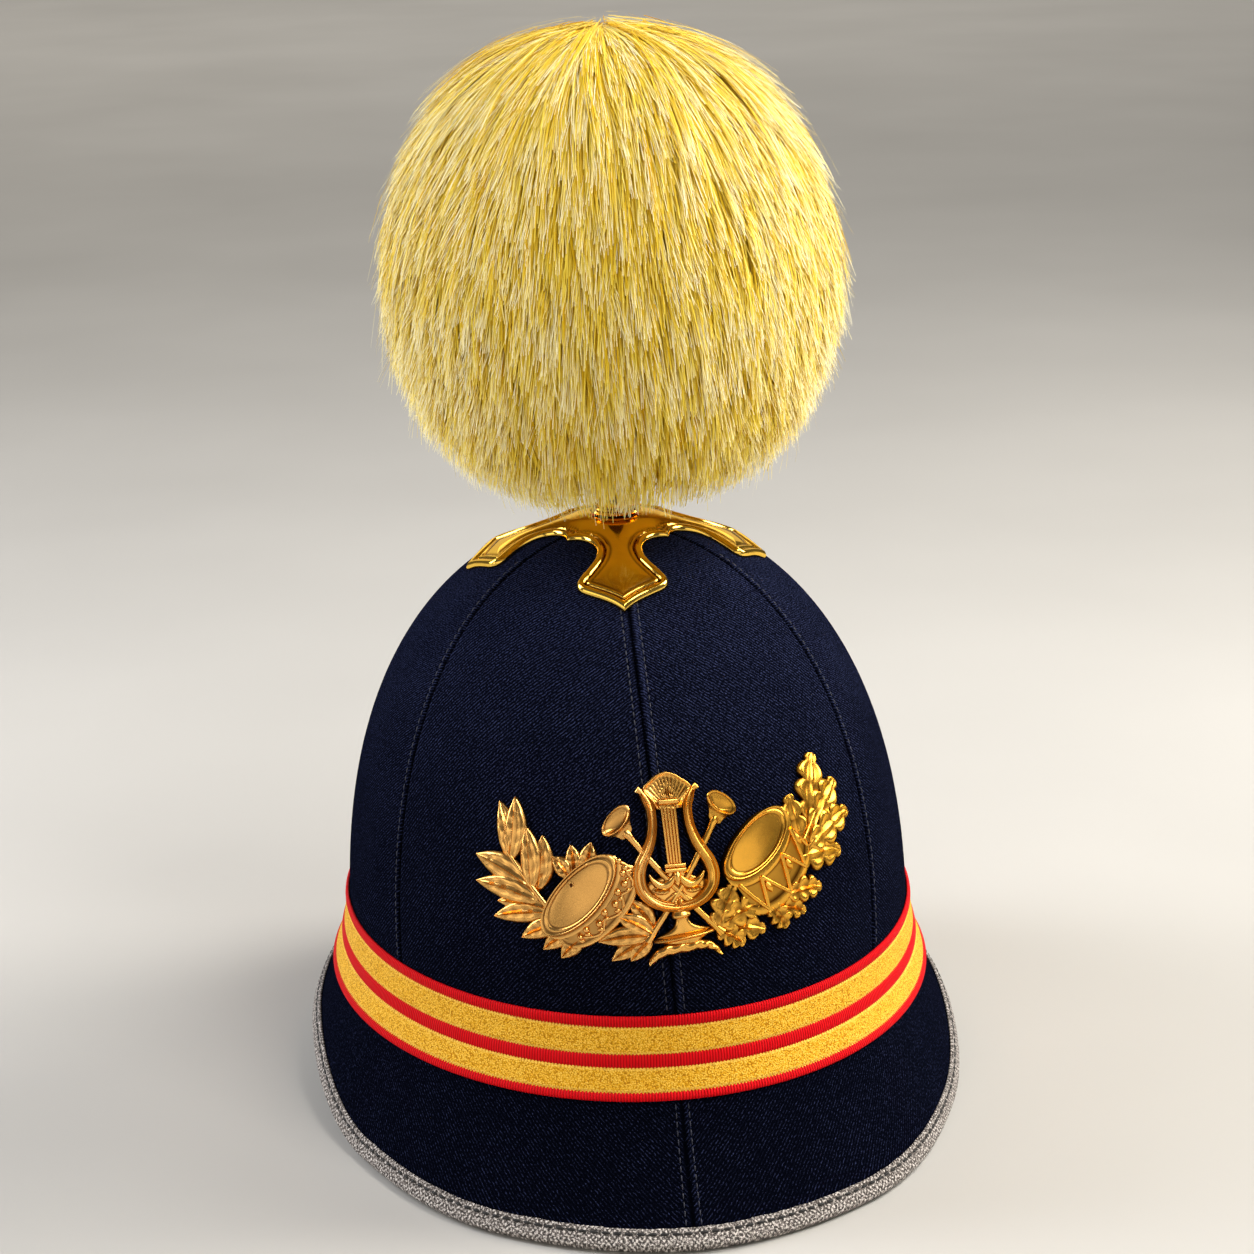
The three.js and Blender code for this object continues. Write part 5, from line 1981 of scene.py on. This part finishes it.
    def leaf(self, leaf: Leaf, kind: LeafKind, lift: float) -> None:
        """Adds a leaf with a midrib and side veins.

        Args:
            leaf: its places and width.
            kind: how it is struck.
            lift: how far it lies above the lowest leaves.
        """
        run = np.array(leaf.tip) - np.array(leaf.base)
        ahead = unit(run)
        side = np.array([ahead[1], -ahead[0]])
        c = bunched(17)
        s = np.linspace(0, 1, kind.rows)[:, None]
        along = s + 0 * c
        hand = 1 if leaf.base[0] < 0 else -1
        line = np.array(leaf.base) + run * s + side * (0.05 * hand * np.linalg.norm(run) * np.sin(np.pi * s))
        body = np.sin(np.pi * s**0.85) ** kind.fullness
        wave = np.abs(np.sin(np.pi * (kind.lobes * s + 0.1))) ** 0.5 if kind.lobes else np.ones(s.shape)
        half = leaf.width * 0.64 * np.maximum(body, 0.03) * (0.42 + 0.58 * wave)
        forward = kind.forward * leaf.width * np.abs(c) ** 1.5 * body
        place = line[:, None] + side * (half * c)[..., None] + ahead * forward[..., None]
        furrow = bell(c, 0.27, 0.12) + bell(c, -0.27, 0.12)
        body_rise = kind.height * (1 - np.abs(c) ** kind.flatness) + 0.25 * np.sin(np.pi * along)
        rib = (0.55 * bell(c, 0, 0.11) - 0.6 * furrow) * np.sin(np.pi * along) ** 0.5
        veins = np.cos(2 * np.pi * (kind.veins * along - 0.55 * np.abs(c)))
        veins = 0.22 * veins * (1 - np.abs(c)) * np.abs(c) * 2
        rim = bell(np.abs(c), 0.8, 0.13) * kind.rim * wave
        fade = smoothstep(0, 0.12, along) * (1 - 0.35 * smoothstep(0.6, 1.0, along))
        w = self.back + 0.5 + lift + (body_rise + rib + veins + rim) * fade
        # Painted shade: darker beside the midrib, towards the edges, between the raised veins and in the
        # notches between the lobes.
        deep = 0.5 * furrow + 0.65 * np.abs(c) ** 7 - 2.4 * veins + 0.5 * (1 - wave)
        self.surface(place, w, np.clip(deep, 0, 0.9))

    def oval(
        self, shape: Oval, rings: Sequence[Sequence[float]], close: Pair, sides: int, shift: Array
    ) -> None:
        """Adds a turned piece seen at a slant.

        Args:
            shape: the rim that it follows.
            rings: its rings, from the middle outwards and down.
            close: shares of the rim for the two rings on the cloth that close it.
            sides: how many sides it has.
            shift: how far the last ring is moved across the drawing.
        """
        # The rings on the cloth are painted darkest, as shade where the piece meets the cloth.
        base = [(share, self.back, rings[-1][2], 1.0) for share in close]
        share, w, slide, deep = np.array([*rings, *base], float).T[..., None]
        steps = share[..., None] * shape.spokes(circle(sides)) + slide[..., None] * shift
        place = np.array(shape.centre) + steps
        net = self.bend(place, w)
        self.soup.grid(net, ring=True, tint=self.tone(place), hollow=deep)
        for end in (0, -1):
            self.soup.cap(net[end], None, float(self.tone(place[end]).mean()), float(deep[end, 0]))

    def drum(self, drum: Drum) -> None:
        """Adds a drum: head, rims, shell and its trimming.

        Args:
            drum: its sizes.
        """
        shift = np.array(drum.shift)
        skin = [(share, w, 0, drum.matt) for share, w in ((0.02, 4.6), (0.4, 4.65), (0.74, 4.55))]
        self.oval(drum, [*skin, *self.drum_rim], (1.0, 0.02), 64, shift)
        self.oval(drum, self.drum_shell, (0.96, 0.02), 64, shift)
        if drum.roped:
            self.ropes(drum)
        else:
            self.garland(drum)

    def ropes(self, drum: Drum, turns: int = 7) -> None:
        """Adds the zigzag of ropes on a drum's shell, with the tugs that tighten them.

        Args:
            drum: its sizes.
            turns: how many stretches of rope can be seen.
        """
        posts = np.linspace(*drum.seen_angles(), turns + 1)
        t = np.linspace(0, 1, 7)
        for i in range(turns):
            start, end = (0.14, 0.86) if i % 2 else (0.86, 0.14)
            angle = posts[i] + (posts[i + 1] - posts[i]) * t
            self.rod(drum.on_shell(angle, start + (end - start) * t, 0.15), 0.75, 8)
        tug = 1.05 * np.array([0.5, 0.8, 1.0, 1.05, 1.0, 0.8, 0.5])
        for post in posts[1:-1:2]:
            self.rod(drum.on_shell(post + 0 * t, 0.3 + 0.24 * t, 0.35), tug, 8)

    def garland(self, drum: Drum, flowers: int = 11, swags: int = 4) -> None:
        """Adds flowers and hanging swags on a drum's shell, and the small hole in its head.

        Args:
            drum: its sizes.
            flowers: how many flowers there are.
            swags: how many swags there are.
        """
        first, last = drum.seen_angles()
        t = np.linspace(-1, 1, 7)
        petal = np.sqrt(np.clip(1 - t**2, 0.06, 1))
        for i, angle in enumerate(np.linspace(first, last, flowers)):
            slide = 0.36 + 0.07 * (-1) ** i
            self.rod(drum.on_shell(angle + 0.07 * t, slide + 0.07 * t, 0.3), 1.15 * petal, 8)
            self.rod(drum.on_shell(angle + 0.05 * t + 0.1, slide + 0.2 - 0.06 * t, 0.1), 0.7 * petal, 8)
        posts = np.linspace(first, last, swags + 1)
        share = (t + 1) / 2
        for start, end in zip(posts[:-1], posts[1:]):
            sag = 0.46 + 0.3 * np.sin(np.pi * share)
            self.rod(drum.on_shell(start + (end - start) * share, sag, 0.2), 0.55, 8)
        turn = np.linspace(0, 2 * np.pi, 17)
        (u, v), radius = self.head_hole, self.head_hole_radius
        hole = stacked(u + radius * np.cos(turn), v + radius * np.sin(turn), 4.7)
        self.rod(hole, 0.26, 6)
        # The hole is closed by a disc painted darkest, as the shade inside it.
        self.soup.cap(self.bend(hole[:-1], hole[:-1, 2]), hollow=1.0)

    def trumpet(self, trumpet: Trumpet) -> None:
        """Adds a trumpet: its bell, its tube behind the lyre and its mouthpiece.

        Args:
            trumpet: its sizes.
        """
        shift = 1.65 * np.array(trumpet.minor)
        self.oval(trumpet, self.trumpet_bell, (0.44, 0.03), 40, shift)
        start = np.array(trumpet.centre) + shift * 0.9
        t = np.linspace(0, 1, 40)
        line = start + (np.array(trumpet.end) - start) * t[:, None]
        radius = 1.2 + 0.45 * bell(t, 0.03, 0.02) - 0.15 * t + 0.6 * smoothstep(0.94, 1.0, t)
        self.rod(np.column_stack([line, 1.9 - 0.5 * np.sin(np.pi * t)]), radius, 12)

    def lyre_frame(self) -> None:
        """Adds the lyre's two arms, which meet in its bowl, and the fluted fan between their horns."""
        arm = smooth_line(self.lyre_arm, 6)
        for hand in (-1, 1):
            line = arm[:, :2] * np.array([hand, 1])
            line[:, 0] += self.leaning(line[:, 1])
            self.relief(line, arm[:, 2], lambda along, across: rolled(-hand * across), 27)
            u, v = line[0]
            curl = [(u - 1.2 * hand, v - 0.9, 2.4), (u, v, 2.8), (u + 0.5 * hand, v - 0.7, 2.6)]
            self.rod(curl, [0.9, 1.15, 0.8])
        fan = smooth_line(self.fan, 5)
        v, u = matched(fan[:, :1], fan[:, 1:] * bunched(71))
        distance = line_distance(np.abs(u), v, fan[:, ::-1])
        ray = np.arctan2(u, v - 20.0)
        flutes = bell(np.abs((ray * 6.4) % 1 - 0.5), 0, 0.15) * smoothstep(1.0, 1.7, distance)
        rise = 1.7 * smoothstep(-0.05, 0.3, distance) + 0.8 * bell(distance, 0.6, 0.42)
        w = self.back + 0.5 + rise - 0.4 * flutes
        # Painted shade: the flutes are darkened.
        self.surface(stacked(u + self.leaning(v), v), w, np.clip(0.06 + 0.9 * flutes, 0, 0.95))

    def lyre_bowl(self) -> None:
        """Adds the strings with their bars, and the scrolls in the lyre's bowl."""
        along = np.linspace(*self.string_ends, 9)
        middle = self.leaning(along) - 0.25
        self.relief(stacked(middle, along), np.linspace(2.75, 2.3, 9), lambda a, c: 1.3 + 0 * a, 5)
        for share in np.linspace(-1, 1, 5):
            self.rod(stacked(middle + share * np.linspace(2.3, 1.9, 9), along, 2.0), 0.46, 8)
        for v, reach, size in self.bars:
            self.rod(stacked(self.leaning(v) - 0.3 + np.linspace(-reach, reach, 7), v, 2.9), size)
        plate = smooth_line(self.plate, 5)
        self.relief(stacked(0, plate[:, 0]), plate[:, 1], lambda a, c: 0.4 + 1.0 * (1 - np.abs(c) ** 8), 25)
        scroll = smooth_line(self.scroll, 6)
        zigzag = smooth_line(self.zigzag, 4)
        for hand in (-1, 1):
            flip = np.array([hand, 1])
            self.relief(scroll[:, :2] * flip, scroll[:, 2], lambda a, c: 1.3 + 2.0 * dome(c), 13)
            self.rod(stacked(*(zigzag * flip).T, 1.9), 0.6, 8)
            self.leaf(Leaf((2.2 * hand, -3.6), (8.6 * hand, -3.4), 2.6), LAUREL, 0.6)
        self.leaf(Leaf((0, -8.4), (0, -5.8), 2.6), LAUREL, 1.0)
        self.rod([(0, 1.8, 2.6), (0, 0.4, 3.2), (0, -1.2, 3.0)], [0.9, 1.4, 0.8])

    def lyre_stand(self) -> None:
        """Adds the turned stand below the lyre and its fluted foot."""
        v, half = smooth_line(self.pedestal, 5).T
        self.relief(stacked(np.interp(-v, [9.8, 19.7], [0.5, 1.7]), v), half, ringed, 25)
        foot = smooth_line(self.foot, 8)
        self.relief(foot[:, :2], foot[:, 2], fluted)

    def build(self, gilt: Material) -> None:
        """Makes the whole badge as one piece.

        Args:
            gilt: its finish.
        """
        for kind, leaves in ((LAUREL, self.laurel), (OAK, self.oak)):
            for i, leaf in enumerate(leaves):
                self.leaf(leaf, kind, kind.layer * (i % 3))
        for ends in self.stems:
            low, high = np.array(ends, float)
            line = low + (high - low) * np.linspace(0, 1, 9)[:, None]
            self.rod(stacked(*line.T, 1.6), np.linspace(1.2, 0.6, 9))
        for drum in self.drums:
            self.drum(drum)
        for trumpet in self.trumpets:
            self.trumpet(trumpet)
        self.lyre_frame()
        self.lyre_bowl()
        self.lyre_stand()
        self.soup.piece("badge_gilt", gilt, "gilt_brass", "badge", sharp_deg=55)


# Studio


@dataclass(frozen=True)
class SoftLight:
    """A soft light: where it stands and what it looks at in metres, its sides, power and colour."""

    name: str
    place: tuple[float, float, float]
    target: tuple[float, float, float]
    sides: Pair
    power: float
    colour: str

    def build(self) -> None:
        """Hangs the light."""
        data = bpy.data.lights.new(self.name, "AREA")
        data.shape = "RECTANGLE"
        data.size, data.size_y = self.sides
        data.energy = self.power
        data.color = linear(self.colour)[:3]
        lamp = bpy.data.objects.new(self.name, data)
        lamp.location = self.place
        way = Vector(self.target) - Vector(self.place)
        lamp.rotation_euler = way.to_track_quat("-Z", "Y").to_euler()
        bpy.context.scene.collection.objects.link(lamp)


@dataclass
class Studio:
    """The pale floor, the soft lights and the dim room."""

    floor_side: float = 24.0
    room: str = "#96938e"
    room_strength: float = 0.45
    lights: tuple[SoftLight, ...] = (
        SoftLight("right_softbox", (1.1, 0.08, 0.98), (0, 0, 0.22), (0.6, 1.1), 28, "#fffaf2"),
        SoftLight("left_softbox", (-1.15, 0.3, 0.8), (0, 0, 0.22), (0.5, 1.1), 16.5, "#f7f9ff"),
        SoftLight("overhead", (0.5, -0.68, 1.36), (0, 0, 0.25), (0.6, 0.45), 11, "#fffdf8"),
        SoftLight("front_panel", (0.2, -2.4, 0.75), (0, 0, 0.2), (5.0, 1.3), 20, "#fff8ec"),
        SoftLight("left_panel", (-2.1, -1.0, 0.5), (0, 0, 0.12), (1.2, 0.9), 5, "#fffaf0"),
        SoftLight("back_panel", (0.0, 5.2, 1.9), (0, 0, 0.2), (7.0, 2.6), 40, "#fffaf2"),
        SoftLight("rear_overhead", (0.0, 3.8, 2.8), (0, 3.8, 0), (5.0, 2.4), 55, "#fffaf2"),
    )

    def build(self, paper: Material) -> None:
        """Lays the floor, hangs the lights and sets the room.

        Args:
            paper: the finish of the floor.
        """
        half = self.floor_side / 2
        corners = [(x * half, y * half, 0) for x, y in ((-1, -1), (1, -1), (1, 1), (-1, 1))]
        mesh = bpy.data.meshes.new("floor")
        mesh.from_pydata(corners, [], [(0, 1, 2, 3)])
        mesh.materials.append(paper)
        floor = bpy.data.objects.new("floor", mesh)
        bpy.context.scene.collection.objects.link(floor)
        for light in self.lights:
            light.build()
        world = bpy.data.worlds.new("dim_room")
        world.use_nodes = True
        background = world.node_tree.nodes["Background"]
        background.inputs["Color"].default_value = linear(self.room)
        background.inputs["Strength"].default_value = self.room_strength
        bpy.context.scene.world = world
        bpy.context.scene.view_settings.view_transform = "Standard"
        LOG.info("studio: %d lights", len(self.lights))


@dataclass
class Viewpoint:
    """The camera, from the photograph's perspective: millimetres, radians and pixels of the image."""

    distance: float = 990.451
    height: float = 462.742
    heading: float = 0.003
    pitch: float = 0.295
    roll: float = 0.028
    turn: float = 0.125
    focal_px: float = 2926.758
    image_px: int = 1254
    sensor: float = 36.0

    def build(self) -> None:
        """Places the camera."""
        right = Vector((math.cos(self.heading), -math.sin(self.heading), 0))
        level_ahead = Vector((math.sin(self.heading), math.cos(self.heading), 0))
        ahead = level_ahead * math.cos(self.pitch) - Vector((0, 0, math.sin(self.pitch)))
        up = right.cross(ahead)
        level = right * math.cos(self.roll) - up * math.sin(self.roll)
        upright = right * math.sin(self.roll) + up * math.cos(self.roll)
        axes = Matrix((level, upright, -ahead)).transposed().to_4x4()
        back = Matrix.Rotation(-self.turn, 4, "Z")
        place = back @ Vector((0, -self.distance * MM, self.height * MM))
        data = bpy.data.cameras.new("photo_camera")
        data.sensor_width = self.sensor
        data.lens = self.sensor * self.focal_px / self.image_px
        camera = bpy.data.objects.new("photo_camera", data)
        camera.matrix_world = Matrix.Translation(place) @ back @ axes
        bpy.context.scene.collection.objects.link(camera)
        bpy.context.scene.camera = camera


def main() -> None:
    logging.basicConfig(level=logging.INFO, format="%(message)s")
    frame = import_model()
    Viewpoint().build()
    Studio().build(STUDIO_PAPER.material())
    form = Form()
    cloth, brass, hair = (finish.material() for finish in (WoolTwill(), POLISHED_BRASS, DyedHair()))
    navy_thread, grey_thread = (finish.material() for finish in (NAVY_THREAD, DARK_THREAD_AND_HOLE_SHADE))
    brim = Brim(form)
    Crown(form).build(cloth, navy_thread)
    brim.build(cloth, navy_thread)
    Binding(brim).build(GreyBraid().material(), grey_thread)
    Band(form).build(StripedBraid().material())
    Cross(form).build(brass)
    Socket().build(brass)
    Plume().build(hair)
    Badge(form).build(GILT_BRASS.material())
    stem = frame["nodes"]["plume_stem"]
    stem.data.materials.clear()
    stem.data.materials.append(STAINED_WOOD.material())
    LOG.info("plume_stem: packed mesh")


if __name__ == "__main__":
    main()
